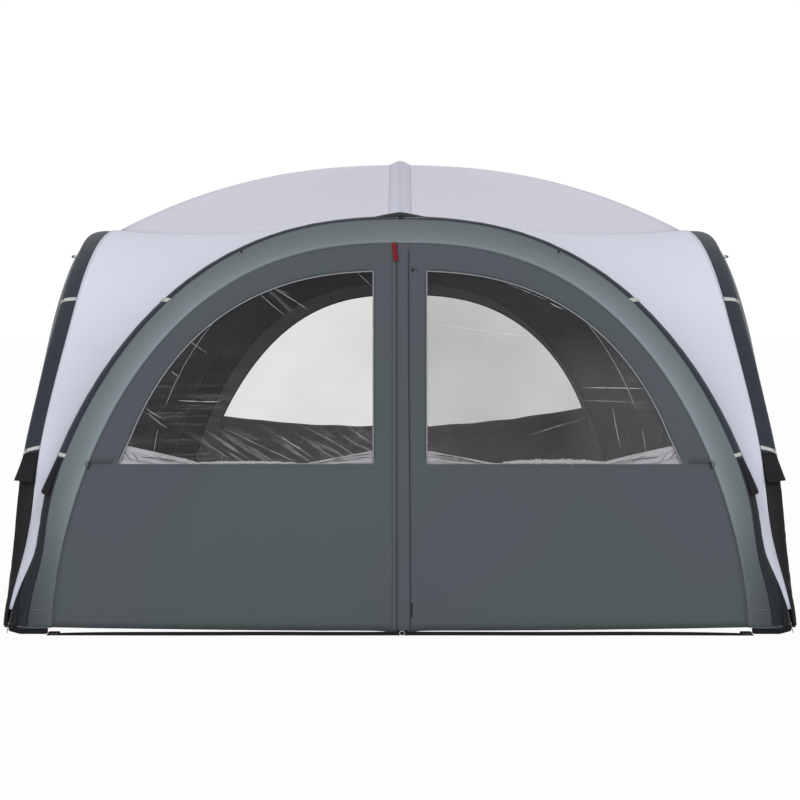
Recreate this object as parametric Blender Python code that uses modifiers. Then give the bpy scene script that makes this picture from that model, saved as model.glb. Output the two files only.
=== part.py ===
"""Air-beam shelter tent: four leaning arches on a square, joined by crossed roof beams.

World frame: origin on the ground at the middle of the square, +Z up, the doorway faces -Y.
Every arch is the front arch turned a quarter turn about the vertical axis. A point of an arch is
given by its height and half span on the inner edge, plus r (outwards in the arch's own plane) and
n (inwards, away from the arch's outer face).
"""
import math

import bmesh
import bpy
import numpy as np
from mathutils import Matrix, Vector

# Arch
ARCH_HALF_SPAN = 1.65        # inner edge at the ground
ARCH_HEIGHT = 1.85           # inner edge at the apex
ARCH_SIDE_POWER = 2.45       # superellipse exponents of the inner edge
ARCH_TOP_POWER = 1.75
FOOT_SETBACK = 0.212         # of the neighbouring arch's outer face beyond that edge, at the ground
FACE_AT_FOOT = ARCH_HALF_SPAN + FOOT_SETBACK
ARCH_LEAN = 0.070            # inward run of that face for each metre of height
BEAM_DIAMETER = 0.105
BEAM_CLEARANCE = 0.003       # between a beam and the sleeve round it
BEAM_UPRIGHT = 0.030         # a beam's foot stands upright for this height
BAND_WIDTH = 0.108           # pale front face of the sleeve
BAND_BULGE = 0.015
EDGE_WIDTH_APEX = 0.012      # dark edge strip beside the band, measured along r
EDGE_WIDTH_FOOT = 0.047
EDGE_DEPTH_FOOT = 0.030      # how far behind the face the strip ends: at the ground,
EDGE_DEPTH_LEG = 0.058       # from LEG_TAPER_TOP up,
EDGE_DEPTH_TOP = 0.098       # and from TOP_TAPER_END up
LEG_TAPER_TOP = 0.55
TOP_TAPER_START = 0.70
TOP_TAPER_END = 1.45

# Cloth and gaps
CLOTH = 0.003
PANE = 0.0015
GAP = 0.0003                 # between pieces that touch
SEAM_GAP = 0.0006            # between cloth edges that are sewn or zipped together

# Canopy
PEAK_RISE = 0.495            # of the peak above the arches' inner edge
PEAK_HEIGHT = ARCH_HEIGHT + PEAK_RISE
RIDGE_POWER = 2.25           # the ridges fall off from the peak with this power
SEAM_BOW_OUT = 0.10          # middle of a corner's upper seam, from the straight line between apexes
SEAM_BOW_DOWN = 0.055
FOLD_GAP = 0.0034            # at that seam, where the cloths meet at an angle
RELAX_ROUNDS = 2000
SILVER_TIP_HEIGHT = 0.10     # lower tip of a corner panel
CROWN_OPENING = 0.04         # the roof panels stop this far from the peak, under the sleeve
RIDGE_SLEEVE_WIDTH = 0.12
RIDGE_SLEEVE_RISE = 0.010
SLEEVE_CLEARANCE = 0.0026    # between the sleeve's edges and the roof cloth

# Roof beams
ROOF_BEAM_DIAMETER = 0.105
ROOF_BEAM_DROP = 0.007       # extra room under the cloth

# Legs
FLAP_TOP = 0.778
FLAP_LENGTH = 0.135
FLAP_BOTTOM = FLAP_TOP - FLAP_LENGTH
BOOT_TOP = FLAP_TOP + 0.004  # a flap covers its boot's upper edge
FLAP_FLARE = 0.026
FLAP_LIFT = 0.0008           # off the strip at the flap's top edge
FLAP_INSET = 0.04            # share of the strip left bare at each side of a flap
WEBBING_HEIGHTS = (FLAP_TOP + 0.019, 1.48)
WEBBING_WIDTH = 0.016
WEBBING_THICKNESS = 0.002
WEBBING_SINK = 0.003         # sewn in: a tab starts this far inside the strip
VALVE_HEIGHT = FLAP_TOP - 0.10  # behind a flap
VALVE_DIAMETER = 0.030
VALVE_DEPTH = 0.013
VALVE_SEAT = 0.0013          # of a valve inside the beam's full circle, onto the flat of a facet

# Feet and ground fittings
BOOT_SINK = 0.010            # how far the boots' cloth runs down into the pad
PAD_OUTER = FACE_AT_FOOT + 0.003
PAD_SIZE = 0.23
PAD_INNER = PAD_OUTER - PAD_SIZE
PAD_CHAMFER = 0.07
PAD_HEIGHT = 0.030
PAD_LIP_HEIGHT = 0.065
PAD_LIP_THICKNESS = 0.004
STRAP_WIDTH = 0.045
STRAP_THICKNESS = 0.002
STRAP_OUTER = PAD_OUTER + 0.025  # a strap's outer edge, from the centre
BUCKLE_LENGTH = 0.060
BUCKLE_WIDTH = 0.040
BUCKLE_HEIGHT = 0.015
BUCKLE_SETBACK = 0.002
HOOK_BAR = (0.052, 0.026, 0.012)
HOOK_OVERLAP = 0.008         # of the hook's bar over the strap
KNOB_DIAMETER = 0.014
KNOB_LENGTH = 0.026
KNOB_HEIGHT = 0.050
KNOB_OFFSET = 0.012          # to the side of the corner cord

# Walls and doors
HEM_HEIGHT = 0.032
ZIP_X = -0.014               # where the two door leaves meet
ZIP_TAPE_WIDTH = 0.024
ZIP_TAPE_THICKNESS = 0.0012
PLACKET_WIDTH = 0.058
PLACKET_THICKNESS = 0.002
PLACKET_TOP_CLEARANCE = 0.03
WINDOW_INSET = 0.14          # front windows, from the arch's inner edge, at sill and apex
WINDOW_SWELL = 0.028         # how much nearer that edge they come between the two
SWELL_START = 1.0            # height from which they do
WINDOW_SILL = 0.80
WINDOW_INNER_X = 0.127
WINDOW_LAP = 0.010
REAR_WINDOW_INSET = 0.24
REAR_WINDOW_SILL = 0.76
SLIDER_SIZE = (0.014, 0.024, 0.007)
SLIDER_TOP = ARCH_HEIGHT - 0.012
PULL_WIDTH = 0.019
PULL_LENGTH = 0.080
PULL_THICKNESS = 0.0016
PULL_DROP = 0.0013           # of the pull's pivot under the slider, room for it to turn
PULL_HEAD = 0.0005           # of the pull above its pivot
TOGGLE_HEIGHT = WINDOW_SILL
TOGGLE_DIAMETER = 0.010
TOGGLE_LENGTH = 0.032
TOGGLE_ACROSS = 0.16         # place of a toggle across the band
TOGGLE_CLEARANCE = 0.0006
CURTAIN_HEIGHT = 0.10
CURTAIN_DEPTH = 0.022
CURTAIN_SAG = 0.085
CURTAIN_END_TOP = WINDOW_SILL + 0.085

# Fineness
BEAM_STEPS = 15              # up half an arch
BEAM_SIDES = 12
STRIP_STEPS = 14             # up half an arch, above the boots
BOOT_STEPS = 8
BAND_COLUMNS = 4
PANEL_COLUMNS = 6
ROOF_ROWS = 9
WINDOW_STEPS = 14

SIDES = ("front", "right", "rear", "left")
LEG_BASE = PAD_HEIGHT + GAP
BEAM_R = BAND_WIDTH / 2
BEAM_N = BEAM_DIAMETER / 2 - BAND_BULGE + CLOTH + BEAM_CLEARANCE
LEAN_ANGLE = math.atan(ARCH_LEAN)

COLOURS = {
    "silver": ((0.66, 0.67, 0.75), 0.45, 0.0),
    "band": ((0.20, 0.24, 0.25), 0.70, 0.0),
    "wall": ((0.085, 0.105, 0.110), 0.75, 0.0),
    "sleeve": ((0.055, 0.070, 0.090), 0.75, 0.0),
    "boot": ((0.020, 0.020, 0.024), 0.70, 0.0),
    "beam": ((0.045, 0.045, 0.050), 0.55, 0.0),
    "plastic": ((0.010, 0.010, 0.011), 0.45, 0.0),
    "strap": ((0.010, 0.010, 0.011), 0.80, 0.0),
    "webbing": ((0.50, 0.50, 0.50), 0.80, 0.0),
    "clear": ((0.80, 0.82, 0.83), 0.10, 0.0),
    "metal": ((0.35, 0.35, 0.36), 0.35, 1.0),
    "red": ((0.30, 0.010, 0.012), 0.60, 0.0),
    "curtain": ((0.45, 0.46, 0.47), 0.80, 0.0),
}


def clear_scene():
    """Remove every object, so the script can run again in an open file."""
    for obj in list(bpy.data.objects):
        bpy.data.objects.remove(obj, do_unlink=True)


def material(name):
    """The named Principled material, made on first use."""
    found = bpy.data.materials.get(name)
    if found:
        return found
    colour, roughness, metallic = COLOURS[name]
    made = bpy.data.materials.new(name)
    made.use_nodes = True
    shader = made.node_tree.nodes["Principled BSDF"]
    shader.inputs["Base Color"].default_value = (*colour, 1.0)
    shader.inputs["Roughness"].default_value = roughness
    shader.inputs["Metallic"].default_value = metallic
    if name == "clear":
        shader.inputs["Alpha"].default_value = 0.35
    return made


def add_object(name, data, slot):
    """Link an object for this data into the tent's collection, with its material."""
    obj = bpy.data.objects.new(name, data)
    bpy.data.collections["shelter_tent"].objects.link(obj)
    data.materials.append(material(slot))
    return obj


def object_from_bmesh(name, bm, slot, smooth=True):
    """Turn a finished bmesh into an object, with its faces pointing out."""
    bmesh.ops.recalc_face_normals(bm, faces=bm.faces)
    mesh = bpy.data.meshes.new(name)
    bm.to_mesh(mesh)
    bm.free()
    obj = add_object(name, mesh, slot)
    if smooth:
        mesh.shade_smooth()
        mesh.set_sharp_from_angle(angle=math.radians(35))
    return obj


def around(side, point):
    """Turn a point given for the front side to the side of this number."""
    x, y, z = point
    for _ in range(side):
        x, y = -y, x
    return Vector((x, y, z))


def arch_samples():
    """Heights and half spans along one half of the inner edge, foot first, with outward normals."""
    angle = np.linspace(0, math.pi / 2, 600)
    u = ARCH_HALF_SPAN * np.cos(angle) ** (2 / ARCH_SIDE_POWER)
    w = ARCH_HEIGHT * np.sin(angle) ** (2 / ARCH_TOP_POWER)
    u[-1] = 0.0
    normal_u = ARCH_SIDE_POWER / ARCH_HALF_SPAN * (u / ARCH_HALF_SPAN) ** (ARCH_SIDE_POWER - 1)
    normal_w = ARCH_TOP_POWER / ARCH_HEIGHT * (w / ARCH_HEIGHT) ** (ARCH_TOP_POWER - 1)
    length = np.hypot(normal_u, normal_w)
    return u, w, normal_u / length, normal_w / length


def half_arch(low, high, steps):
    """Evenly spaced stations (u, w, normal u, normal w) between two heights of the inner edge."""
    u, w, nu, nw = arch_samples()
    run = np.concatenate([[0.0], np.cumsum(np.hypot(np.diff(u), np.diff(w)))])
    start, end = np.interp([low, high], w, run)
    places = np.linspace(start, end, steps + 1)
    columns = [np.interp(places, run, values) for values in (u, w, nu, nw)]
    stations = np.stack(columns, axis=1)
    if low <= LEG_BASE:
        stations[0, 2:] = (1.0, 0.0)
    return [tuple(row) for row in stations]


def boot_stations():
    """Stations from the pad to the boot's upper edge."""
    return half_arch(LEG_BASE, BOOT_TOP, BOOT_STEPS)


def upper_stations(low=BOOT_TOP):
    """Stations from the boot's upper edge to the apex; the first may start a seam higher."""
    return half_arch(low, low, 1)[:1] + half_arch(BOOT_TOP, ARCH_HEIGHT, STRIP_STEPS)[1:]


def over(half):
    """Stations of a whole arch, from +u over the apex to -u, made from one half."""
    return half + [(-u, w, -nu, nw) for u, w, nu, nw in half[-2::-1]]


def band_stations():
    """Stations of a whole arch, the same as those of the boots and strips."""
    return over(boot_stations()[:-1] + upper_stations())


def place(side, station, r, n):
    """World point at r and n from a station of the arch on this side."""
    u, w, nu, nw = station
    height = w + r * nw
    return around(side, (u + r * nu, -(FACE_AT_FOOT - ARCH_LEAN * height) + n, height))


def edge_width(w):
    """Width of the dark strip along r, wider towards the foot."""
    share = min(1.0, w / ARCH_HEIGHT) ** 2
    return EDGE_WIDTH_FOOT + (EDGE_WIDTH_APEX - EDGE_WIDTH_FOOT) * share


def eased(value, low, high):
    """0 below low, 1 above high, and a smooth step between."""
    share = min(1.0, max(0.0, (value - low) / (high - low)))
    return share * share * (3 - 2 * share)


def edge_depth(w):
    """How far behind the face the dark strip ends, less towards the foot."""
    leg = (EDGE_DEPTH_LEG - EDGE_DEPTH_FOOT) * eased(w, 0, LEG_TAPER_TOP)
    top = (EDGE_DEPTH_TOP - EDGE_DEPTH_LEG) * eased(w, TOP_TAPER_START, TOP_TAPER_END)
    return EDGE_DEPTH_FOOT + leg + top


def strip_point(w, across, lift):
    """(r, n) on the dark strip: across from the band's edge (0) to the canopy's (1), and lifted out."""
    width = edge_width(w)
    depth = edge_depth(w)
    length = math.hypot(width, depth)
    r = BAND_WIDTH + SEAM_GAP + across * width + lift * depth / length
    n = across * depth - lift * width / length
    return r, n


def sweep(bm, side, stations, section):
    """Carry a closed section along stations; section(i, station) gives its (r, n) corners."""
    rings = []
    for index, station in enumerate(stations):
        rings.append([bm.verts.new(place(side, station, r, n)) for r, n in section(index, station)])
    count = len(rings[0])
    for ring, after in zip(rings, rings[1:]):
        for corner in range(count):
            beside = (corner + 1) % count
            bm.faces.new((ring[corner], ring[beside], after[beside], after[corner]))
    bm.faces.new(rings[0][::-1])
    bm.faces.new(rings[-1])


def bulge(share):
    """How far the band stands out in front of its edges, at this share across it."""
    return BAND_BULGE * 4 * share * (1 - share)


def band_section(_, station):
    """Pale band: a shallow curve over the front of the beam."""
    across = np.linspace(0, 1, BAND_COLUMNS + 1)
    front = [(share * BAND_WIDTH, -bulge(share)) for share in across]
    back = [(share * BAND_WIDTH, CLOTH - bulge(share)) for share in across]
    return front + back[::-1]


def strip_section(_, station):
    """Dark strip from the band's outer edge back to the canopy."""
    w = station[1]
    width, depth = edge_width(w), edge_depth(w)
    start = (CLOTH * depth / math.hypot(width, depth) - SEAM_GAP + GAP) / width
    return [strip_point(w, 0, 0), strip_point(w, 1, 0), strip_point(w, 1, -CLOTH), strip_point(w, start, -CLOTH)]


def tube(name, points, diameter, slot, sides=BEAM_SIDES):
    """A tube along the points, as a curve with filled ends."""
    curve = bpy.data.curves.new(name, "CURVE")
    curve.dimensions = "3D"
    curve.bevel_depth = diameter / 2
    curve.bevel_resolution = (sides - 4) // 2
    curve.use_fill_caps = True
    spline = curve.splines.new("POLY")
    spline.points.add(len(points) - 1)
    for target, point in zip(spline.points, points):
        target.co = (*point, 1.0)
        target.radius = 1.0
    spline.use_smooth = True
    return add_object(name, curve, slot)


def cylinder(bm, start, end, diameter, sides=12):
    """Add a capped cylinder between two points to a bmesh."""
    axis = Vector(end) - Vector(start)
    turn = axis.to_track_quat("Z", "Y").to_matrix().to_4x4()
    matrix = Matrix.Translation((Vector(start) + Vector(end)) / 2) @ turn
    bmesh.ops.create_cone(
        bm, cap_ends=True, segments=sides, radius1=diameter / 2, radius2=diameter / 2,
        depth=axis.length, matrix=matrix)


def build_arch(side):
    """Beam, pale band and dark edge strip of one arch."""
    label = SIDES[side]
    stations = over(half_arch(LEG_BASE, ARCH_HEIGHT, BEAM_STEPS))
    route = [place(side, station, BEAM_R, BEAM_N) for station in stations]
    rise = Vector((0, 0, BEAM_UPRIGHT))
    route = [route[0], route[0] + rise] + route[1:-1] + [route[-1] + rise, route[-1]]
    tube(f"beam_arch_{label}", route, BEAM_DIAMETER, "beam")

    bm = bmesh.new()
    sweep(bm, side, band_stations(), band_section)
    object_from_bmesh(f"band_{label}", bm, "band")

    bm = bmesh.new()
    sweep(bm, side, over(upper_stations(BOOT_TOP + SEAM_GAP)), strip_section)
    strip = object_from_bmesh(f"edge_strip_{label}", bm, "sleeve")
    for sign in (1, -1):
        for height in WEBBING_HEIGHTS:
            join_solid(strip, webbing_tab(side, sign, height))


def ridge_height(run):
    """Height of a ridge at this distance from the peak."""
    reach, low = ridge_foot()
    return PEAK_HEIGHT - (PEAK_HEIGHT - low) * (run / reach) ** RIDGE_POWER


def ridge_foot():
    """Distance from the centre and height of the canopy's edge at an arch's apex."""
    r, n = strip_point(ARCH_HEIGHT, 1, 0)
    apex = place(0, (0.0, ARCH_HEIGHT, 0.0, 1.0), r, n + SEAM_GAP)
    return -apex.y, apex.z


def grid_object(name, rows, slot):
    """An open grid of points made a cloth shell that grows outwards."""
    bm = bmesh.new()
    grid = [[bm.verts.new(point) for point in row] for row in rows]
    for row, above in zip(grid, grid[1:]):
        for left in range(len(row) - 1):
            bm.faces.new((row[left], row[left + 1], above[left + 1], above[left]))
    bm.normal_update()
    centre = Vector((0, 0, 0.5))
    middle = bm.faces[:][len(bm.faces) // 2]
    if middle.normal.dot(middle.calc_center_median() - centre) < 0:
        bmesh.ops.reverse_faces(bm, faces=bm.faces)
    mesh = bpy.data.meshes.new(name)
    bm.to_mesh(mesh)
    bm.free()
    obj = add_object(name, mesh, slot)
    shell = obj.modifiers.new("cloth", "SOLIDIFY")
    shell.thickness = CLOTH
    shell.offset = 1.0
    shell.use_even_offset = True
    mesh.shade_smooth()
    return obj


def corner_rim(side):
    """Pairs of points up the corner between this side and the one before it, tip to apex level."""
    pairs = []
    tip = half_arch(SILVER_TIP_HEIGHT, BOOT_TOP, 1)[:1]
    low = [station for station in boot_stations()[:-1] if station[1] > tip[0][1]]
    stations = tip + low + upper_stations()
    stations[-1] = (SEAM_GAP / 2, *stations[-1][1:])
    for u, w, nu, nw in stations:
        r, n = strip_point(w, 1, 0)
        here = place(side, (-u, w, -nu, nw), r, n + SEAM_GAP)
        there = place((side + 3) % 4, (u, w, nu, nw), r, n + SEAM_GAP)
        pairs.append((here, there))
    return pairs


def upright_depth(run, thickness):
    """Upright depth of a layer this thick under the roof, which slopes both along and across."""
    fall = (ridge_height(run) - ridge_height(run + 0.01)) / 0.01
    return thickness * math.sqrt(1 + 2 * fall * fall)


def crest_rim(side):
    """Pairs of points up the two crests that bound this quarter of the roof, arch to crown."""
    before = (side + 3) % 4
    reach, _ = ridge_foot()
    pairs = []
    for step in range(ROOF_ROWS + 1):
        run = CROWN_OPENING + (reach - CROWN_OPENING) * (1 - step / ROOF_ROWS)
        here = around(side, (-ridge_gap(side), -run, ridge_height(run)))
        there = around(before, (ridge_gap(before), -run, ridge_height(run)))
        pairs.append((here, there))
    return pairs


def ridge_gap(side):
    """Half a seam at the front and rear, where two roof cloths meet; none on the side crests."""
    return SEAM_GAP / 2 if side % 2 == 0 else 0.0


def canopy_quarter(side):
    """Rows of one quarter of the canopy, relaxed like a net: (corner rows, roof rows)."""
    corner = corner_rim(side)
    seam = len(corner) - 1
    rim = np.array(corner + crest_rim(side)[1:])
    share = np.linspace(0, 1, PANEL_COLUMNS + 1)[:, None]
    net = rim[:, :1] * (1 - share) + rim[:, 1:] * share
    outward = around(side, (-SEAM_BOW_OUT / math.sqrt(2), -SEAM_BOW_OUT / math.sqrt(2), -SEAM_BOW_DOWN))
    net[seam] += 4 * share * (1 - share) * np.array(outward)
    held = net[seam].copy()
    for _ in range(RELAX_ROUNDS):
        across = net[1:-1, :-2] + net[1:-1, 2:]
        along = net[:-2, 1:-1] + net[2:, 1:-1]
        net[1:-1, 1:-1] = (across + along) / 4
        net[seam] = held
    rows = [[Vector(point) for point in row] for row in net]
    below = [point + (under - point).normalized() * FOLD_GAP for point, under in zip(rows[seam], rows[seam - 1])]
    return rows[:seam] + [below], rows[seam:]


def build_canopy():
    """Four silver corner panels, and two roof cloths that run over the side crests."""
    quarters = [canopy_quarter(side) for side in range(4)]
    names = ("front_left", "front_right", "rear_right", "rear_left")
    for label, (corner, _) in zip(names, quarters):
        grid_object(f"corner_panel_{label}", corner, "silver")
    roofs = [roof for _, roof in quarters]
    for label, first, second in (("left", roofs[0], roofs[3]), ("right", roofs[2], roofs[1])):
        grid_object(f"roof_panel_{label}", [a + b[1:] for a, b in zip(first, second)], "silver")
    build_ridge_sleeve(roofs[0])


def build_ridge_sleeve(roof):
    """Raised sleeve over the ridge, its edges lying on the roof cloths' own rows."""
    half = RIDGE_SLEEVE_WIDTH / 2
    seats = []
    for row in roof:
        spans = [-point.x for point in row]
        if spans[-1] > half:
            height = float(np.interp(half, spans, [point.z for point in row]))
            y = float(np.interp(half, spans, [-point.y for point in row]))
            seats.append((y, height))
    seats = [seat for seat in seats if seat[0] > half / 2]
    crown = (0.0, ridge_height(half))
    places = [(-y, z) for y, z in seats] + [crown] + [(y, z) for y, z in seats[::-1]]
    across = np.linspace(-1, 1, 7)
    bm = bmesh.new()
    rings = []
    for y, seat in places:
        edge = seat + upright_depth(abs(y), CLOTH) + SLEEVE_CLEARANCE
        rise = ridge_height(abs(y)) + RIDGE_SLEEVE_RISE - edge
        under = [Vector((half * s, y, edge + rise * (1 - abs(s) ** 2.4))) for s in across]
        top = [point + Vector((0, 0, CLOTH)) for point in under]
        rings.append([bm.verts.new(point) for point in top + under[::-1]])
    for ring, after in zip(rings, rings[1:]):
        for corner in range(len(ring)):
            beside = (corner + 1) % len(ring)
            bm.faces.new((ring[corner], ring[beside], after[beside], after[corner]))
    bm.faces.new(rings[0][::-1])
    bm.faces.new(rings[-1])
    object_from_bmesh("ridge_sleeve", bm, "silver")


def roof_beam_centre(run):
    """Height of a roof beam's centre line, low enough to clear the sloping cloth on both sides."""
    reach, _ = ridge_foot()
    span = min(run, reach)
    return ridge_height(span) - upright_depth(span, ROOF_BEAM_DIAMETER / 2) - ROOF_BEAM_DROP


def build_roof_beams():
    """Ridge beam from arch to arch, and a half beam on each side that butts it."""
    apex = place(0, (0.0, ARCH_HEIGHT, 0.0, 1.0), BEAM_R, BEAM_N)
    end = -apex.y - BEAM_DIAMETER / 2 - GAP
    level = roof_beam_centre(end)
    bend = end - 0.02
    runs = np.linspace(0.04, bend, 11)
    half = [(run, min(roof_beam_centre(run), roof_beam_centre(0.04))) for run in runs]
    half[-1] = (bend, level)
    half.append((end, level))
    ridge = [Vector((0, -run, z)) for run, z in half[::-1]] + [Vector((0, run, z)) for run, z in half]
    tube("beam_ridge", ridge, ROOF_BEAM_DIAMETER, "beam")
    start = ROOF_BEAM_DIAMETER / 2 + GAP
    for label, way in (("left", -1), ("right", 1)):
        route = [Vector((way * start, 0, half[0][1]))]
        route += [Vector((way * run, 0, z)) for run, z in half[1:]]
        tube(f"beam_cross_{label}", route, ROOF_BEAM_DIAMETER, "beam")


def leg_stations(sign, low, high, steps):
    """Stations up one leg: sign +1 for the leg at +u, -1 for the leg at -u."""
    return [(sign * u, w, sign * nu, nw) for u, w, nu, nw in half_arch(low, high, steps)]


def corner_of(side, sign):
    """Name of the corner where this leg stands."""
    names = ("front_right", "rear_right", "rear_left", "front_left")
    return names[side] if sign > 0 else names[(side + 3) % 4]


def build_legs():
    """Flaps and valves: what hangs on the lower legs, and what they hide."""
    for side in range(4):
        for sign in (1, -1):
            build_flap(side, sign, f"flap_{corner_of(side, sign)}_{SIDES[side]}")
        build_valve(side)


def flap_section(index, station, steps):
    """Flap: hangs from its top edge and flares away from the boot."""
    lift = FLAP_LIFT + FLAP_FLARE * (1 - index / steps) ** 1.3
    w = station[1]
    shares = (FLAP_INSET, 0.5, 1 - FLAP_INSET)
    bow = (0.0, 0.004, 0.0)
    flare = 1 - index / steps
    inner = [strip_point(w, share, lift + rise * flare) for share, rise in zip(shares, bow)]
    outer = [strip_point(w, share, lift + rise * flare + CLOTH) for share, rise in zip(shares, bow)]
    return inner + outer[::-1]


def flap_hinge(side, sign):
    """Ends of the line that a flap turns about, along its top edge."""
    station = leg_stations(sign, FLAP_TOP, FLAP_TOP + 0.01, 1)[0]
    ends = []
    for share in (FLAP_INSET, 1 - FLAP_INSET):
        r, n = strip_point(station[1], share, FLAP_LIFT + CLOTH / 2)
        ends.append(place(side, station, r, n))
    return ends


def build_flap(side, sign, name):
    """One flap, with its origin on its hinge line."""
    steps = 4
    stations = leg_stations(sign, FLAP_BOTTOM, FLAP_TOP, steps)
    bm = bmesh.new()
    sweep(bm, side, stations, lambda index, station: flap_section(index, station, steps))
    start, end = flap_hinge(side, sign)
    pivot = (start + end) / 2
    bmesh.ops.translate(bm, verts=bm.verts, vec=-pivot)
    obj = object_from_bmesh(name, bm, "sleeve")
    obj.location = pivot


def webbing_tab(side, sign, height):
    """A webbing tab across the dark strip, as a solid to join to it."""
    stations = leg_stations(sign, height - WEBBING_WIDTH / 2, height + WEBBING_WIDTH / 2, 1)

    def section(_, station):
        w = station[1]
        low = (0.06, -WEBBING_SINK)
        high = (0.94, WEBBING_THICKNESS)
        return [strip_point(w, across, lift) for across, lift in
                (low, (high[0], low[1]), high, (low[0], high[1]))]

    bm = bmesh.new()
    sweep(bm, side, stations, section)
    return object_from_bmesh(f"tab_{SIDES[side]}_{sign}_{height}", bm, "webbing", smooth=False)


def build_valve(side):
    """Air valve on the beam's outer side, behind the flap."""
    station = leg_stations(1, VALVE_HEIGHT, VALVE_HEIGHT + 0.01, 1)[0]
    foot = BEAM_R + BEAM_DIAMETER / 2 - VALVE_SEAT
    start = place(side, station, foot, BEAM_N)
    end = place(side, station, foot + VALVE_DEPTH, BEAM_N)
    bm = bmesh.new()
    cylinder(bm, start, end, VALVE_DIAMETER)
    object_from_bmesh(f"air_valve_{SIDES[side]}", bm, "plastic")


def pad_outline():
    """Corner pad seen from above, for the corner at +x +y: a square with its outer corner cut."""
    cut = PAD_OUTER - PAD_CHAMFER
    return [(PAD_INNER, PAD_INNER), (PAD_OUTER, PAD_INNER), (PAD_OUTER, cut), (cut, PAD_OUTER),
            (PAD_INNER, PAD_OUTER)]


def prism(bm, outline, low, high):
    """Add an upright prism with this outline to a bmesh."""
    base = [bm.verts.new((x, y, low)) for x, y in outline]
    top = [bm.verts.new((x, y, high)) for x, y in outline]
    bm.faces.new(base[::-1])
    bm.faces.new(top)
    for index in range(len(base)):
        beside = (index + 1) % len(base)
        bm.faces.new((base[index], base[beside], top[beside], top[index]))


def corner_matrices():
    """Turns from the corner at +x +y to all four corners, with the corner's name and its two legs."""
    names = ("rear_right", "rear_left", "front_left", "front_right")
    legs = (((1, 1), (2, -1)), ((2, 1), (3, -1)), ((3, 1), (0, -1)), ((0, 1), (1, -1)))
    turns = [Matrix.Rotation(math.pi / 2 * index, 4, "Z") for index in range(4)]
    return list(zip(names, turns, legs))


def lip_outline():
    """Upstand along the pad's cut corner."""
    cut = PAD_OUTER - PAD_CHAMFER
    inward = PAD_LIP_THICKNESS / math.sqrt(2)
    return [(PAD_OUTER, cut), (cut, PAD_OUTER), (cut - inward, PAD_OUTER - inward), (PAD_OUTER - inward, cut - inward)]


def boot_cloth(side, sign):
    """Black lower part of the sleeve's outer side on one leg, run down into its pad."""
    stations = [(sign * u, w, sign * nu, nw) for u, w, nu, nw in boot_stations()]
    u, _, nu, nw = stations[0]
    stations.insert(0, (u, PAD_HEIGHT - BOOT_SINK, nu, nw))
    bm = bmesh.new()
    sweep(bm, side, stations, strip_section)
    return object_from_bmesh(f"boot_{SIDES[side]}_{sign}", bm, "boot")


def build_feet():
    """Corner boots: a pad with its lip and knob, and the black cloth up both legs."""
    middle = PAD_OUTER - PAD_CHAMFER / 2
    side_step = KNOB_OFFSET / math.sqrt(2)
    start = middle - PAD_LIP_THICKNESS / 2
    end = middle + KNOB_LENGTH / math.sqrt(2)
    for name, turn, legs in corner_matrices():
        bm = bmesh.new()
        prism(bm, pad_outline(), 0.0, PAD_HEIGHT)
        bmesh.ops.transform(bm, matrix=turn, verts=bm.verts)
        boot = object_from_bmesh(f"corner_boot_{name}", bm, "boot", smooth=False)
        bm = bmesh.new()
        prism(bm, lip_outline(), PAD_HEIGHT / 2, PAD_LIP_HEIGHT)
        bmesh.ops.transform(bm, matrix=turn, verts=bm.verts)
        join_solid(boot, object_from_bmesh(f"lip_{name}", bm, "boot", smooth=False))
        bm = bmesh.new()
        tips = [turn @ Vector((s + side_step, s - side_step, KNOB_HEIGHT)) for s in (start, end)]
        cylinder(bm, tips[0], tips[1], KNOB_DIAMETER)
        join_solid(boot, object_from_bmesh(f"knob_{name}", bm, "boot"))
        for side, sign in legs:
            join_solid(boot, boot_cloth(side, sign))


def join_solid(obj, tool):
    """Boolean union of a tool into an object; the tool goes to the cutters."""
    for collection in list(tool.users_collection):
        collection.objects.unlink(tool)
    bpy.data.collections["cutters"].objects.link(tool)
    tool.hide_render = True
    tool.display_type = "WIRE"
    union = obj.modifiers.new("join", "BOOLEAN")
    union.operation = "UNION"
    union.object = tool


def solid_box(name, centre, size, turn, slot):
    """A box as its own object, turned about the vertical axis."""
    matrix = Matrix.Translation(centre) @ Matrix.Rotation(turn, 4, "Z") @ Matrix.Diagonal((*size, 1.0))
    bm = bmesh.new()
    bmesh.ops.create_cube(bm, size=1.0, matrix=matrix)
    return object_from_bmesh(name, bm, slot, smooth=False)


def build_straps():
    """Ground straps between the pads, each with its two buckles and the hook at its middle."""
    length = 2 * (PAD_INNER - GAP)
    middle = STRAP_OUTER - STRAP_WIDTH / 2
    bar_y = -(STRAP_OUTER - HOOK_OVERLAP + HOOK_BAR[1] / 2)
    for side, label in enumerate(SIDES):
        turn = math.pi / 2 * side
        centre = around(side, (0, -middle, STRAP_THICKNESS / 2))
        strap = solid_box(f"ground_strap_{label}", centre, (length, STRAP_WIDTH, STRAP_THICKNESS), turn, "strap")
        for end in (-1, 1):
            spot = (end * (PAD_INNER - GAP - BUCKLE_LENGTH / 2 - BUCKLE_SETBACK), -middle, BUCKLE_HEIGHT / 2)
            size = (BUCKLE_LENGTH, BUCKLE_WIDTH, BUCKLE_HEIGHT)
            join_solid(strap, solid_box(f"buckle_{label}_{end}", around(side, spot), size, turn, "strap"))
        hook = around(side, (0, bar_y, HOOK_BAR[2] / 2))
        join_solid(strap, solid_box(f"hook_{label}", hook, HOOK_BAR, turn, "strap"))


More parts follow.
